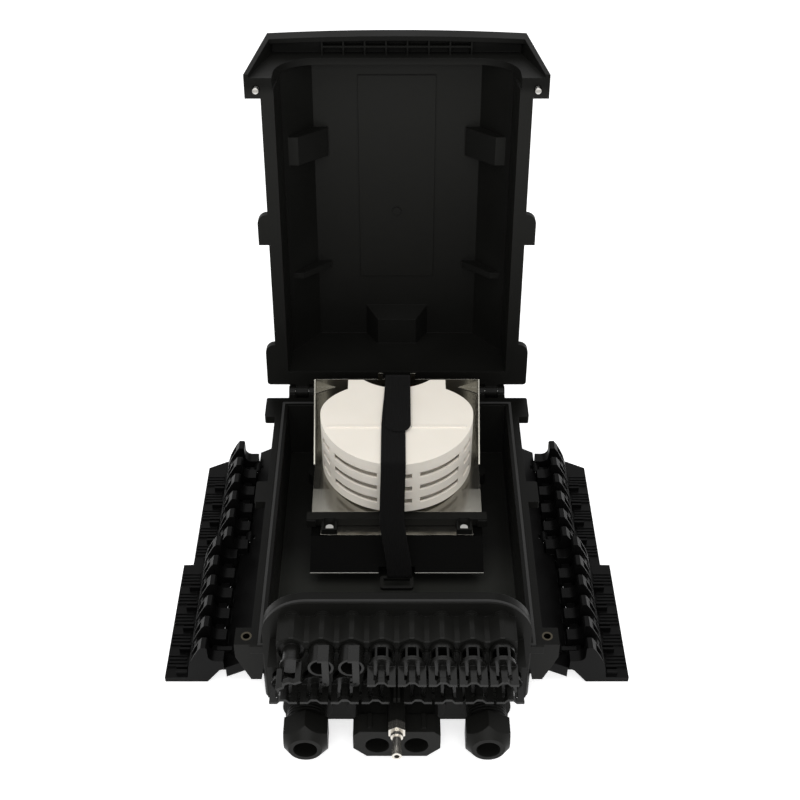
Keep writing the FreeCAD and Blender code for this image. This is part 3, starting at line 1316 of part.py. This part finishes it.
def wing_fence(inner, u0, u1):
    # Wall along the backs of the horns, which the eyelets go through.
    foot = slope_foot(inner)
    upper = inner + WING_REACH + WING_BACK[2][0]
    low = WING_HORN_Z - WING_BACK[-1][1]
    return prism_u([(upper - FENCE, FENCE_Z), (upper, FENCE_Z), (foot, low), (foot + WING_SPREAD, 0),
                    (foot + WING_SPREAD - FENCE, 0), (foot - FENCE, low)], u0, u1)


def wing_eyelets(inner, u0):
    x1 = slope_foot(inner)
    reach = (inner + WING_REACH + WING_HOOK_ROOM, x1 + WING_SPREAD + CUT_OVER)
    middle = u0 + WING_RIB + (WING_PITCH - WING_RIB) / 2
    half = EYELET_LENGTH / 2
    cuts = [rod_x(middle + side * half, EYELET_Z, EYELET_R, *reach) for side in (-1, 1)]
    cuts.append(block(reach, (middle - half, middle + half), (EYELET_Z - EYELET_R, EYELET_Z + EYELET_R)))
    return cuts


def wing_eye(u):
    inner = WING_IN if u > WING_SPLIT else WING_IN - WING_STEP
    eye = rod_u(WING_AXIS_X, WING_AXIS_Z, WING_EYE_R, u - WING_EYE / 2, u + WING_EYE / 2)
    arm = block((WING_AXIS_X, inner + WING_SPINE), (u - WING_EYE / 2, u + WING_EYE / 2),
                (WING_CHAMFER_Z + WING_CHIN, WING_AXIS_Z + WING_ARM_RISE))
    return eye.fuse(arm)


def wing():
    far_in = WING_IN - WING_STEP
    plate_end = WING_FAR - WING_OVERRUN
    solids = [wing_plate(WING_IN, WING_SPLIT, WING_NEAR), wing_plate(far_in, plate_end, WING_SPLIT)]
    for inner, u0, u1 in ((WING_IN, WING_SPLIT, WING_NEAR), (far_in, WING_FAR, WING_SPLIT)):
        solids += [wing_spine(inner, u0, u1), wing_fence(inner, u0, u1)]
    cuts = [far_corner(far_in + WING_WIDTH, plate_end)]
    for start, inner in ((WING_NEAR, WING_IN), (WING_FAR_START, far_in)):
        for k in range(WING_HOOKS):
            u0 = start - WING_PITCH * k - WING_RIB
            solids.append(wing_hook(inner, u0))
            cuts.append(hook_pocket(inner, u0))
            if k < WING_HOOKS - 1:
                solids += wing_teeth(inner, u0)
            if k > 0:
                cuts += wing_eyelets(inner, u0)
    for u in hinge_stations():
        solids.append(wing_eye(u))
        cuts.append(rod_u(WING_AXIS_X, WING_AXIS_Z, WING_PIN_R + PIN_PLAY, u - WING_EYE, u + WING_EYE))
    return joined(solids).cut(cuts).removeSplitter()


def wing_pins():
    reach = WING_EYE / 2 + WING_EYE_GAP + RAIL_EYE
    pins = [rod_u(WING_AXIS_X, WING_AXIS_Z, WING_PIN_R, u - reach, u + reach) for u in hinge_stations()]
    return Part.makeCompound(pins)


def save(name, shape):
    solids = shape.Solids
    assert solids and all(solid.isValid() for solid in solids), name
    result = solids[0] if len(solids) == 1 else Part.makeCompound(solids)
    result.exportStep(os.path.join("parts", name + ".step"))
    print(name, len(solids), round(sum(solid.Volume for solid in solids) / 1000, 2))


def save_pair(name, right):
    save(name + "_right", right)
    save(name + "_left", mirrored(right))


def main():
    os.makedirs("parts", exist_ok=True)
    save("base_shell", base_shell())
    save("base_gasket", seal_path(SEAL_PLAY))
    save("lid_shell", swung_open(lid_closed()))
    save_pair("hinge_pin", hinge_pin())
    save_pair("captive_screw", captive_screw())
    save_pair("screw_insert", screw_insert())
    save_pair("wing_rail", wing_rail())
    save_pair("wing", wing())
    save_pair("wing_pins", wing_pins())
    save("rail_screws", rail_screws())
    for index in range(TRAY_COUNT):
        save("splice_tray_%d" % (index + 1), splice_tray(index))
    save("tray_cover", tray_cover())
    save("tray_bracket", tray_bracket())
    save("tray_hinge_bar", tray_hinge_bar())
    save("bracket_screws", bracket_screws())
    save("front_panel", front_panel())
    save("strap", strap())
    save("strap_buckle", strap_buckle())
    save("port_plug_1", port_plug())
    save("port_saddle_1", port_saddle())
    save("port_ring_2", port_ring(1))
    save("port_ring_3", port_ring(2))
    for index in range(3, PORT_COUNT):
        save("port_insert_%d" % (index + 1), port_insert(UPPER_XS[index], RIM_Z + UPPER_Z, 0))
    for index in range(PORT_COUNT):
        save("lower_insert_%d" % (index + 1), port_insert(LOWER_XS[index], RIM_Z + LOWER_Z, LOWER_SHORT))
    save_pair("gland_body", gland_body())
    save_pair("gland_nut", gland_nut())
    save_pair("gland_seal", gland_seal())
    save("oval_gland_body", oval_gland_body())
    save("oval_gland_cap", oval_gland_cap())
    save("oval_gland_seal", oval_gland_seal())
    save("valve_nut", valve_nut())
    save("valve_stem", valve_stem())


main()
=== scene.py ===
# %% [markdown]
# # A fibre termination box, lying open on its back
#
# The box hangs on a wall or pole and joins one feeder cable to many thin drop cables. A moulded black tub holds
# four cream trays under a strap; the lid is swung back, so the camera looks over the ports and into both halves.
# The construction comes packed, with its true sizes and joints. This script gives every surface its material,
# models the soft strap as tape, and sets the camera and the light of the photo.

import json
import math

import bpy
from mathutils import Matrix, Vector


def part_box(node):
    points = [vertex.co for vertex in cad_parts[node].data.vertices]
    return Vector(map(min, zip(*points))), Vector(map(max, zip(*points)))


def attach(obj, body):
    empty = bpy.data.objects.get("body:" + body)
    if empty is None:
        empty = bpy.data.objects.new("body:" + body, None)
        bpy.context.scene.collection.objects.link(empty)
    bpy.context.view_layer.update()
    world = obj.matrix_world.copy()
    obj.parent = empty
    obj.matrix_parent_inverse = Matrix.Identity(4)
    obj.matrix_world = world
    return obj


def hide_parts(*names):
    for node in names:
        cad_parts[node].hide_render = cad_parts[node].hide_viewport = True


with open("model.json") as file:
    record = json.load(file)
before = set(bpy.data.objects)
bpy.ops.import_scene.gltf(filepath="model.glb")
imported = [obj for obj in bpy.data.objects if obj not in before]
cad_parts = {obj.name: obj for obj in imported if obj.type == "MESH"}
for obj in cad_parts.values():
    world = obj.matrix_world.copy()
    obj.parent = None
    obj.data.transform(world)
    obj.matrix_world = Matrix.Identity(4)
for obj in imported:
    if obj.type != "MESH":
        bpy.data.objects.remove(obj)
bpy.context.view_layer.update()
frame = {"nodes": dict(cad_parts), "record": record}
nodes = frame["nodes"]

# %% [markdown]
# ## Places that several cells use
#
# The hinge line is the natural reference of this box: the photo's camera was fitted to it. Everything the soft
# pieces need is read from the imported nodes, so a change in the construction moves them too.

# %% Places
hinge_low, hinge_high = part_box("hinge_pin_right")
HINGE = Vector((0, (hinge_low.y + hinge_high.y) / 2, (hinge_low.z + hinge_high.z) / 2))
cover_low, cover_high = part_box("tray_cover")
buckle_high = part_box("strap_buckle")[1]
strap_low, strap_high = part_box("strap")
print("hinge line at y", round(HINGE.y, 4), "z", round(HINGE.z, 4))

# %% [markdown]
# ## Helpers for materials
#
# A material is a small graph of nodes. The first three helpers start a material, make a node and join two sockets.
# Each of the others makes one kind of node, wires its inputs and hands back the socket that the next step needs, so
# the graphs below stay short to read. Lengths are in metres.

# %% Material helpers
GRAIN_DEPTH = 0.0002
EDGE_SOFT = 0.0006
GLOSS_RANGE = 0.06


def new_material(name):
    material = bpy.data.materials.new(name)
    material.use_nodes = True
    tree = material.node_tree
    surface = tree.nodes["Principled BSDF"]
    return material, tree, surface


def add(tree, kind, **inputs):
    node = tree.nodes.new(kind)
    for name, value in inputs.items():
        node.inputs[name.replace("_", " ")].default_value = value
    return node


def join(tree, source, target):
    tree.links.new(source, target)


def noise(tree, coords, scale, detail=3.0, rough=0.5):
    node = add(tree, "ShaderNodeTexNoise", Scale=scale, Detail=detail, Roughness=rough)
    join(tree, coords, node.inputs["Vector"])
    return node.outputs["Fac"]


def spread(tree, value, low, high, start=0.3, end=0.7):
    node = tree.nodes.new("ShaderNodeMapRange")
    for name, number in (("From Min", start), ("From Max", end), ("To Min", low), ("To Max", high)):
        node.inputs[name].default_value = number
    join(tree, value, node.inputs["Value"])
    return node.outputs["Result"]


def wave(tree, coords, direction, scale, distortion=0.0):
    node = add(tree, "ShaderNodeTexWave", Scale=scale, Distortion=distortion)
    node.bands_direction = direction
    join(tree, coords, node.inputs["Vector"])
    return node.outputs["Fac"]


def along(tree, coords, axis):
    parts = tree.nodes.new("ShaderNodeSeparateXYZ")
    join(tree, coords, parts.inputs["Vector"])
    return parts.outputs[axis]


def combine(tree, operation, a, b):
    node = tree.nodes.new("ShaderNodeMath")
    node.operation = operation
    join(tree, a, node.inputs[0])
    join(tree, b, node.inputs[1])
    return node.outputs["Value"]


def mix_colour(tree, factor, a, b):
    node = tree.nodes.new("ShaderNodeMix")
    node.data_type = "RGBA"
    node.inputs[6].default_value = (*a, 1)
    node.inputs[7].default_value = (*b, 1)
    join(tree, factor, node.inputs["Factor"])
    return node.outputs[2]


def tint(tree, factor, under, colour):
    node = tree.nodes.new("ShaderNodeMix")
    node.data_type = "RGBA"
    join(tree, factor, node.inputs["Factor"])
    join(tree, under, node.inputs[6])
    node.inputs[7].default_value = (*colour, 1)
    return node.outputs[2]


def bump(tree, height, strength, distance, under=None):
    node = add(tree, "ShaderNodeBump", Strength=strength, Distance=distance)
    join(tree, height, node.inputs["Height"])
    if under is not None:
        join(tree, under, node.inputs["Normal"])
    return node.outputs["Normal"]


def soft_edges(tree, radius):
    node = tree.nodes.new("ShaderNodeBevel")
    node.samples = 4
    node.inputs["Radius"].default_value = radius
    return node.outputs["Normal"]


def place(tree):
    return tree.nodes.new("ShaderNodeTexCoord").outputs["Object"]


print("helpers ready")

# %% [markdown]
# ## Black moulded plastic
#
# The housing is injection-moulded, nearly black and satin. The mould was spark-eroded, which leaves a fine grain;
# the plastic's skin also varies a little in gloss over a hand's width, where it flowed and cooled. Moulded edges are
# never sharp, so the shading rounds them by about half a millimetre.


# %% Black plastic
def black_plastic(name, dark, light, gloss, shine, grain):
    material, tree, surface = new_material(name)
    coords = place(tree)
    flow = noise(tree, coords, 14, 4)
    fine = noise(tree, coords, 2600, 2)
    join(tree, mix_colour(tree, flow, dark, light), surface.inputs["Base Color"])
    join(tree, spread(tree, flow, gloss - GLOSS_RANGE, gloss + GLOSS_RANGE), surface.inputs["Roughness"])
    surface.inputs["Specular IOR Level"].default_value = shine
    join(tree, bump(tree, fine, grain, GRAIN_DEPTH, soft_edges(tree, EDGE_SOFT)), surface.inputs["Normal"])
    return material


SHELL = black_plastic("black_plastic", (0.005, 0.005, 0.0045), (0.0092, 0.0092, 0.0083), 0.40, 0.065, 0.12)
TUB = black_plastic("black_tub", (0.005, 0.005, 0.0045), (0.0092, 0.0092, 0.0083), 0.34, 0.06, 0.12)
LID = black_plastic("black_lid", (0.0032, 0.0032, 0.0028), (0.0058, 0.0058, 0.0052), 0.44, 0.055, 0.12)
INSERTS = black_plastic("black_inserts", (0.0036, 0.0036, 0.0032), (0.0072, 0.0071, 0.0065), 0.27, 0.19, 0.08)
WINGS = black_plastic("black_wings", (0.0012, 0.0012, 0.0012), (0.003, 0.0029, 0.0029), 0.38, 0.052, 0.1)
print("black plastics:", SHELL.name, TUB.name, LID.name, INSERTS.name, WINGS.name)

# %% [markdown]
# The lid's flat inner face gets painted light, most of all towards its hood, and the tub's floor gets painted light
# towards the ports. The up-facing tops of the rim and the arch get painted shade, darker than the rest of the tub.
# A mask multiplies several tests. Each test takes one axis of the face's direction ("Normal") or of its place on the
# piece ("Generated", 0 to 1), and fades from one share of the tint to another between two values of it.


# %% Painted light and shade on the lid and the tub
def paint_light_and_shade(material, tests, colour):
    tree = material.node_tree
    base = tree.nodes["Principled BSDF"].inputs["Base Color"]
    coords = tree.nodes.new("ShaderNodeTexCoord")
    mask = None
    for output, axis, share_start, share_end, start, end in tests:
        test = spread(tree, along(tree, coords.outputs[output], axis), share_start, share_end, start, end)
        mask = test if mask is None else combine(tree, "MULTIPLY", mask, test)
    join(tree, tint(tree, mask, base.links[0].from_socket, colour), base)
    print("face tinted on", material.name)


# Painted light: the lid's inner face is lighter towards its hood.
LID_PAINTED_LIGHT = (
    ("Normal", "Y", 1, 0, -0.985, -0.9),
    ("Generated", "Z", 0, 1, 0.15, 0.75),
    ("Generated", "Z", 1, 0, 0.925, 0.945),
)
# Painted light: the tub's floor is lighter towards the ports.
TUB_FLOOR_PAINTED_LIGHT = (
    ("Normal", "Z", 0, 1, 0.9, 0.985),
    ("Generated", "Z", 1, 0, 0.12, 0.2),
    ("Generated", "Y", 1, 0, 0.48, 0.6),
)
# Painted shade: the up-facing tops of the rim and the arch are darker.
TUB_RIM_PAINTED_SHADE = (
    ("Normal", "Z", 0, 1, 0.6, 0.95),
    ("Generated", "Z", 0, 1, 0.4, 0.5),
    ("Generated", "Y", 0, 1, 0.155, 0.165),
)
paint_light_and_shade(LID, LID_PAINTED_LIGHT, (0.0112, 0.0112, 0.0102))
paint_light_and_shade(TUB, TUB_FLOOR_PAINTED_LIGHT, (0.0205, 0.021, 0.0185))
paint_light_and_shade(TUB, TUB_RIM_PAINTED_SHADE, (0.0032, 0.0032, 0.0028))

# %% [markdown]
# ## Rubber seals
#
# The gasket in the rim and the sleeves in the glands are moulded rubber: darker in sheen than the plastic, with a
# faint bloom that makes patches a little greyer.

# %% Rubber
RUBBER, tree, surface = new_material("seal_rubber")
coords = place(tree)
bloom = noise(tree, coords, 60, 5)
join(tree, mix_colour(tree, bloom, (0.010, 0.010, 0.010), (0.018, 0.018, 0.017)), surface.inputs["Base Color"])
join(tree, spread(tree, bloom, 0.62, 0.78), surface.inputs["Roughness"])
join(tree, bump(tree, noise(tree, coords, 1500), 0.2, GRAIN_DEPTH), surface.inputs["Normal"])
surface.inputs["Specular IOR Level"].default_value = 0.3
print("rubber:", RUBBER.name)

# %% [markdown]
# ## Cream trays
#
# The trays are moulded in a warm off-white plastic. It is opaque but lets a little light wander under its skin, so
# edges look soft. Handling leaves faint patches, and the top is grained like fine leather.

# %% Cream plastic
CREAM, tree, surface = new_material("cream_plastic")
coords = place(tree)
patches = noise(tree, coords, 25, 4)
join(tree, mix_colour(tree, patches, (0.82, 0.765, 0.675), (0.88, 0.83, 0.745)), surface.inputs["Base Color"])
join(tree, spread(tree, patches, 0.42, 0.55), surface.inputs["Roughness"])
leather = noise(tree, coords, 1400)
join(tree, bump(tree, leather, 0.08, GRAIN_DEPTH, soft_edges(tree, EDGE_SOFT)), surface.inputs["Normal"])
surface.inputs["Subsurface Weight"].default_value = 0.05
surface.inputs["Subsurface Radius"].default_value = (0.004, 0.003, 0.002)
print("cream:", CREAM.name)

# %% [markdown]
# ## Metals
#
# Several metals show. The tray bracket is dull plated sheet with long rolling lines; the pins are turned bright steel;
# the bracket's screws are pale zinc; the threaded inserts in the lugs are dark brass; the air valve has a mirror skin.
# All share one recipe: a metal whose gloss is broken up by fine scratches along one direction.

# %% Metals
WORN = 0.82


def metal(name, colour, gloss, stretch, scratch, metallic=1.0):
    material, tree, surface = new_material(name)
    coords = place(tree)
    lines = add(tree, "ShaderNodeMapping", Scale=stretch)
    join(tree, coords, lines.inputs["Vector"])
    streaks = noise(tree, lines.outputs["Vector"], 900, 3)
    patches = noise(tree, coords, 45, 4)
    darker = tuple(WORN * c for c in colour)
    join(tree, mix_colour(tree, patches, darker, colour), surface.inputs["Base Color"])
    join(tree, spread(tree, streaks, gloss - GLOSS_RANGE / 2, gloss + GLOSS_RANGE / 2), surface.inputs["Roughness"])
    edges = soft_edges(tree, EDGE_SOFT / 2)
    join(tree, bump(tree, streaks, scratch, GRAIN_DEPTH / 2, edges), surface.inputs["Normal"])
    surface.inputs["Metallic"].default_value = metallic
    return material


SHEET = metal("plated_sheet", (0.26, 0.25, 0.22), 0.2, (1, 0.03, 0.03), 0.02)
STEEL = metal("bright_steel", (0.66, 0.65, 0.62), 0.2, (1, 1, 0.1), 0.1)
ZINC = metal("pale_zinc", (0.72, 0.71, 0.68), 0.4, (1, 1, 0.1), 0.05, 0.4)
BRASS = metal("dark_brass", (0.05, 0.044, 0.033), 0.4, (1, 1, 0.1), 0.1)
VALVE = metal("valve_plating", (0.62, 0.59, 0.54), 0.16, (1, 0.1, 1), 0.08, 0.94)
print("metals:", SHEET.name, STEEL.name, ZINC.name, BRASS.name, VALVE.name)

# %% [markdown]
# The bracket's upright plates get a painted dark reflection: their colour is darkened to stand in for the black
# housing they mirror, so they look darker than its shelf, while their cut edges stay bright. The plates are found by
# the way their faces look: sideways for the cheeks, forwards for the back plate.

# %% Painted dark reflection on the bracket's upright plates
# Painted dark reflection on the cheeks and on the back plate.
CHEEK_PAINTED_REFLECTION = (0.07, 0.067, 0.058)
BACK_PAINTED_REFLECTION = (0.13, 0.125, 0.11)
paint_light_and_shade(SHEET, (("Normal", "X", 0, 1, 0.7, 0.95),), CHEEK_PAINTED_REFLECTION)
paint_light_and_shade(SHEET, (("Normal", "X", 1, 0, -0.95, -0.7),), CHEEK_PAINTED_REFLECTION)
paint_light_and_shade(SHEET, (("Normal", "Y", 1, 0, -0.95, -0.7), ("Generated", "Y", 0, 1, 0.8, 0.9)), BACK_PAINTED_REFLECTION)

# %% [markdown]
# The lid's screws point at the camera with their threads. The solids are plain shanks, so the thread is a bump plus
# painted shade and highlight: rings along the shank, painted dark in the valleys and painted bright on the crests.

# %% Threaded steel
THREAD_DEPTH = 0.0003
THREAD = metal("threaded_steel", (0.5, 0.49, 0.46), 0.24, (1, 1, 0.1), 0.05)
tree = THREAD.node_tree
surface = tree.nodes["Principled BSDF"]
# Painted shade in the thread's valleys and painted highlight on its crests.
painted_thread_rings = wave(tree, place(tree), "Y", 320)
join(tree, mix_colour(tree, painted_thread_rings, (0.28, 0.27, 0.25), (0.9, 0.89, 0.86)), surface.inputs["Base Color"])
join(tree, bump(tree, painted_thread_rings, 0.6, THREAD_DEPTH), surface.inputs["Normal"])
print("thread:", THREAD.name)

# %% [markdown]
# ## Black-coated sheet with a bright cut edge
#
# The plate in front of the trays is coated steel. Where it was cut after coating, its lower edge is bare and shows
# as a bright line. A mask along the length picks out that edge.

# %% Coated sheet
BARE_EDGE = 0.0004
panel_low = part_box("front_panel")[0]
COATED, tree, surface = new_material("black_sheet")
coords = place(tree)
edge = spread(tree, along(tree, coords, "Y"), 1, 0, panel_low.y, panel_low.y + BARE_EDGE)
speckle = noise(tree, coords, 700, 4)
coat = mix_colour(tree, speckle, (0.0008, 0.0008, 0.0007), (0.0018, 0.0018, 0.0016))
join(tree, tint(tree, edge, coat, (0.42, 0.41, 0.38)), surface.inputs["Base Color"])
join(tree, edge, surface.inputs["Metallic"])
join(tree, spread(tree, speckle, 0.5, 0.62), surface.inputs["Roughness"])
surface.inputs["Specular IOR Level"].default_value = 0.02
join(tree, bump(tree, speckle, 0.15, GRAIN_DEPTH), surface.inputs["Normal"])
print("coated sheet:", COATED.name)

# %% [markdown]
# ## Give each imported node its material
#
# The record already groups the nodes by what they are made of. The tub, the lid, the port inserts and the wings each
# get their own black and gloss, the lid darker than the tub and the wings darkest, so they are picked out by name. So
# are the small metal parts that differ from the other bright steel. The strap is left out: its tape gets a material
# further on.

# %% Assign materials
BY_SLOT = {
    "black_plastic": SHELL, "seal_rubber": RUBBER, "bright_steel": STEEL, "galvanised": SHEET,
    "black_sheet": COATED, "cream_plastic": CREAM, "valve_chrome": VALVE,
}
BY_NODE = {
    "base_shell": TUB, "lid_shell": LID, "bracket_screws": ZINC, "screw_insert_left": BRASS,
    "screw_insert_right": BRASS, "captive_screw_left": THREAD, "captive_screw_right": THREAD,
}
dressed = 0
for entry in frame["record"]["subparts"]:
    node, slot = entry["node"], entry["material_slot"]
    if slot not in BY_SLOT:
        continue
    material = BY_SLOT[slot]
    if node.startswith(("port_", "lower_")):
        material = INSERTS
    if node.startswith("wing") and slot == "black_plastic":
        material = WINGS
    material = BY_NODE.get(node, material)
    nodes[node].data.materials.clear()
    nodes[node].data.materials.append(material)
    dressed += 1
print("materials on", dressed, "of", len(nodes), "nodes")

# %% [markdown]
# ## The strap
#
# A hook-and-loop strap ties the tray stack down. On the real box it is woven tape: it comes up through the slot at
# the back of the bracket, lies flat on the top tray, bends over the front edge and runs down to a loop. Its free end
# is folded back and pressed on top, ending in a round tip. The tape is modelled directly as a ribbon, because it is
# pulled tight and no longer drapes. A path gives its height and its slight sideways wander, and each step along the
# path places one cross-section.

# %% Strap path
THICK = 0.0016
CLEAR = 0.0003
BEND = 0.0009
FLAT_STEPS = 40
SLOPE_STEPS = 45
WIDE = strap_high.x - strap_low.x
TOP = cover_high.z + CLEAR
FRONT = cover_low.y
BACK = strap_high.y
END_Y = strap_low.y + 2 * CLEAR
END_Z = buckle_high.z + CLEAR


def smooth(a, b, t):
    t = min(max((t - a) / (b - a), 0), 1)
    return t * t * (3 - 2 * t)


def strap_path():
    flat = [(BACK - (BACK - FRONT) * i / FLAT_STEPS, TOP) for i in range(FLAT_STEPS)]
    turn = [(FRONT - BEND * math.sin(a), TOP - BEND * (1 - math.cos(a))) for a in (0.3, 0.6, 0.9)]
    y0, z0 = turn[-1]
    shares = [i / SLOPE_STEPS for i in range(1, SLOPE_STEPS + 1)]
    slope = [(y0 + (END_Y - y0) * share, z0 + (END_Z - z0) * share) for share in shares]
    return flat + turn + slope


path = strap_path()
print("strap path:", len(path), "stations, top at", round(TOP, 4))

# %% [markdown]
# The ribbon is a tube of flat cross-sections with slightly bevelled edges. Each stands square to the path at its
# station, and its points are shares of the half-width and of the thickness. In the photo the tape lies a few
# millimetres to the left on the trays and ends a little to the right at the loop, so the sections wander sideways.


# %% Strap ribbon
def ribbon(name, stations, wander, lift, half_at):
    section = [(-1, 0.15), (-0.93, 0), (-0.5, 0), (0, 0), (0.5, 0), (0.93, 0), (1, 0.15),
               (1, 0.85), (0.93, 1), (0.5, 1), (0, 1), (-0.5, 1), (-0.93, 1), (-1, 0.85)]
    points = []
    for i, (y, z) in enumerate(stations):
        before = stations[max(i - 1, 0)]
        after = stations[min(i + 1, len(stations) - 1)]
        run = Vector((0, after[0] - before[0], after[1] - before[1])).normalized()
        up = Vector((0, run.z, -run.y))
        share = i / (len(stations) - 1)
        for across, height in section:
            x = wander(share) + across * half_at(y)
            points.append(Vector((x, y, z)) + up * (height * THICK + lift))
    count = len(section)
    faces = []
    for i in range(len(stations) - 1):
        for k in range(count):
            a, b = i * count + k, i * count + (k + 1) % count
            faces.append((a, b, b + count, a + count))
    faces.append(tuple(reversed(range(count))))
    last = (len(stations) - 1) * count
    faces.append(tuple(range(last, last + count)))
    mesh = bpy.data.meshes.new(name)
    mesh.from_pydata([tuple(p) for p in points], [], faces)
    mesh.validate()
    mesh.shade_smooth()
    made = bpy.data.objects.new(name, mesh)
    bpy.context.scene.collection.objects.link(made)
    return made


def wander(share):
    return -0.003 * smooth(0, 0.3, share) - 0.001 * smooth(0.47, 0.7, share) + 0.0064 * smooth(0.72, 1, share)


strap = ribbon("strap_tape", path, wander, 0, lambda y: WIDE / 2)
print("strap:", len(strap.data.vertices), "points")

# %% [markdown]
# The folded-back end is a second, shorter ribbon on top of the first, a little wider and to the right. Near its tip
# the half-width follows a circle, which gives the round end. The stations crowd towards the tip to draw that circle.

# %% Strap tongue
TONGUE_LENGTH = 0.077
TONGUE_SWELL = 1.06
TONGUE_HALF = WIDE / 2 * TONGUE_SWELL
TONGUE_SHIFT = 0.001
TONGUE_LIFT = 0.0001
TIP_HALF = 0.0004
TIP = BACK - TONGUE_LENGTH
left_over = [(1 - i / FLAT_STEPS) ** 2 for i in range(FLAT_STEPS + 1)]
tongue_path = [(BACK - (BACK - TIP) * (1 - share), TOP + THICK) for share in left_over]


def tongue_half(y):
    left = y - TIP
    if left >= TONGUE_HALF:
        return TONGUE_HALF
    return max(math.sqrt(max(TONGUE_HALF ** 2 - (TONGUE_HALF - left) ** 2, 0)), TIP_HALF)


tongue = ribbon("strap_tongue", tongue_path, lambda share: TONGUE_SHIFT, TONGUE_LIFT, tongue_half)
print("tongue:", len(tongue.data.vertices), "points")

# %% [markdown]
# ## Woven tape
#
# Seen close, the tape is a field of tiny loops over a plain weave: matt, deep black, with a fuzz that catches a
# little light at grazing angles. A wave across the tape makes the weave and noise makes the loops.

# %% Strap material
PILE_DEPTH = 0.0006
TAPE, tree, surface = new_material("strap_tape")
coords = place(tree)
loops = noise(tree, coords, 1700, 5, 0.7)
pile = combine(tree, "ADD", wave(tree, coords, "X", 260, 2), loops)
join(tree, mix_colour(tree, loops, (0.0006, 0.0006, 0.0006), (0.0044, 0.0042, 0.004)), surface.inputs["Base Color"])
join(tree, bump(tree, pile, 0.9, PILE_DEPTH), surface.inputs["Normal"])
surface.inputs["Roughness"].default_value = 0.9
surface.inputs["Specular IOR Level"].default_value = 0.08
surface.inputs["Sheen Weight"].default_value = 0.02
surface.inputs["Sheen Roughness"].default_value = 0.5
for piece in (strap, tongue):
    piece.data.materials.append(TAPE)
    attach(piece, "base")
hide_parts("strap")
print("tape on", strap.name, tongue.name)

# %% [markdown]
# ## Floor
#
# The photo is a catalogue picture: a white ground with almost no shadow. The floor is white paper that glows a little,
# which thins the shadows but keeps them. It ends before it would fade to grey in low views.

# %% Floor
FLOOR_SIZE = 4
FLOOR_DROP = 0.0005
FLOOR_GLOW = 0.6
bpy.ops.mesh.primitive_plane_add(size=FLOOR_SIZE, location=(0, 0, -FLOOR_DROP))
floor = bpy.context.object
floor.name = "floor"
PAPER, tree, surface = new_material("white_paper")
coords = place(tree)
fibre = noise(tree, coords, 400, 3)
join(tree, mix_colour(tree, fibre, (0.93, 0.93, 0.93), (0.95, 0.95, 0.95)), surface.inputs["Base Color"])
surface.inputs["Roughness"].default_value = 0.9
surface.inputs["Specular IOR Level"].default_value = 0
surface.inputs["Emission Color"].default_value = (1, 1, 1, 1)
surface.inputs["Emission Strength"].default_value = FLOOR_GLOW
floor.data.materials.append(PAPER)
print("floor:", floor.name)

# %% [markdown]
# ## Backdrop
#
# The world is white to the camera and to mirrors, so the backdrop is pure white and metal has something bright to
# reflect. To all other rays it is dim, so the black plastic keeps its depth.

# %% World
world = bpy.data.worlds.new("studio")
bpy.context.scene.world = world
world.use_nodes = True
tree = world.node_tree
output = tree.nodes["World Output"]
lit = tree.nodes["Background"]
lit.inputs["Color"].default_value = (1, 1, 1, 1)
lit.inputs["Strength"].default_value = 0.2
seen = tree.nodes.new("ShaderNodeBackground")
seen.inputs["Color"].default_value = (1, 1, 1, 1)
seen.inputs["Strength"].default_value = 1
rays = tree.nodes.new("ShaderNodeLightPath")
white_for = rays.outputs["Is Camera Ray"]
for kind in ("Is Glossy Ray", "Is Transmission Ray"):
    white_for = combine(tree, "MAXIMUM", white_for, rays.outputs[kind])
pick = tree.nodes.new("ShaderNodeMixShader")
join(tree, white_for, pick.inputs[0])
join(tree, lit.outputs[0], pick.inputs[1])
join(tree, seen.outputs[0], pick.inputs[2])
join(tree, pick.outputs[0], output.inputs["Surface"])
print("world set")

# %% [markdown]
# ## Lamps
#
# Large panels give the broad soft light of the photo: most from the front and from above, a little from each side and
# from behind.


# %% Lamps
def panel_light(name, where, aim, size, power):
    lamp = bpy.data.lights.new(name, "AREA")
    lamp.shape = "RECTANGLE"
    lamp.size, lamp.size_y = size
    lamp.energy = power
    made = bpy.data.objects.new(name, lamp)
    made.location = where
    made.rotation_euler = (Vector(aim) - Vector(where)).to_track_quat("-Z", "Y").to_euler()
    bpy.context.scene.collection.objects.link(made)


panel_light("top_panel", (0, -0.2, 2.0), (0, 0, 0), (2.2, 1.4), 22)
panel_light("back_panel", (0, 1.6, 1.7), (0, 0, 0.1), (2.0, 1.0), 6)
panel_light("front_panel_light", (0, -2.0, 1.5), (0, 0, 0.1), (2.0, 1.2), 32)
panel_light("left_panel", (-1.8, -0.6, 1.2), (0, 0, 0.1), (1.0, 1.0), 5)
panel_light("right_panel", (1.8, -0.6, 1.2), (0, 0, 0.1), (1.0, 1.0), 5)

# %% [markdown]
# ## Camera
#
# The photo was taken from about 1.2 m, 40 degrees above the floor and square to the box. The lens, the distance and
# the small offset of the picture's middle were fitted from the rim's corners, the hinge line and the lid's edges.

# %% Camera
ELEVATION = math.radians(39.63)
DISTANCE = 1.212
PICTURE = 800
camera_data = bpy.data.cameras.new("photo_camera")
camera_data.sensor_width = 36
camera_data.lens = 57.96
camera_data.shift_x = 0.004
camera_data.shift_y = -0.01125
camera = bpy.data.objects.new("photo_camera", camera_data)
camera.location = HINGE + Vector((0, -DISTANCE * math.cos(ELEVATION), DISTANCE * math.sin(ELEVATION)))
camera.rotation_euler = (math.radians(90) - ELEVATION, 0, 0)
scene = bpy.context.scene
scene.collection.objects.link(camera)
scene.camera = camera
scene.render.resolution_x = PICTURE
scene.render.resolution_y = PICTURE
scene.view_settings.view_transform = "Standard"
print("camera at", [round(v, 3) for v in camera.location])
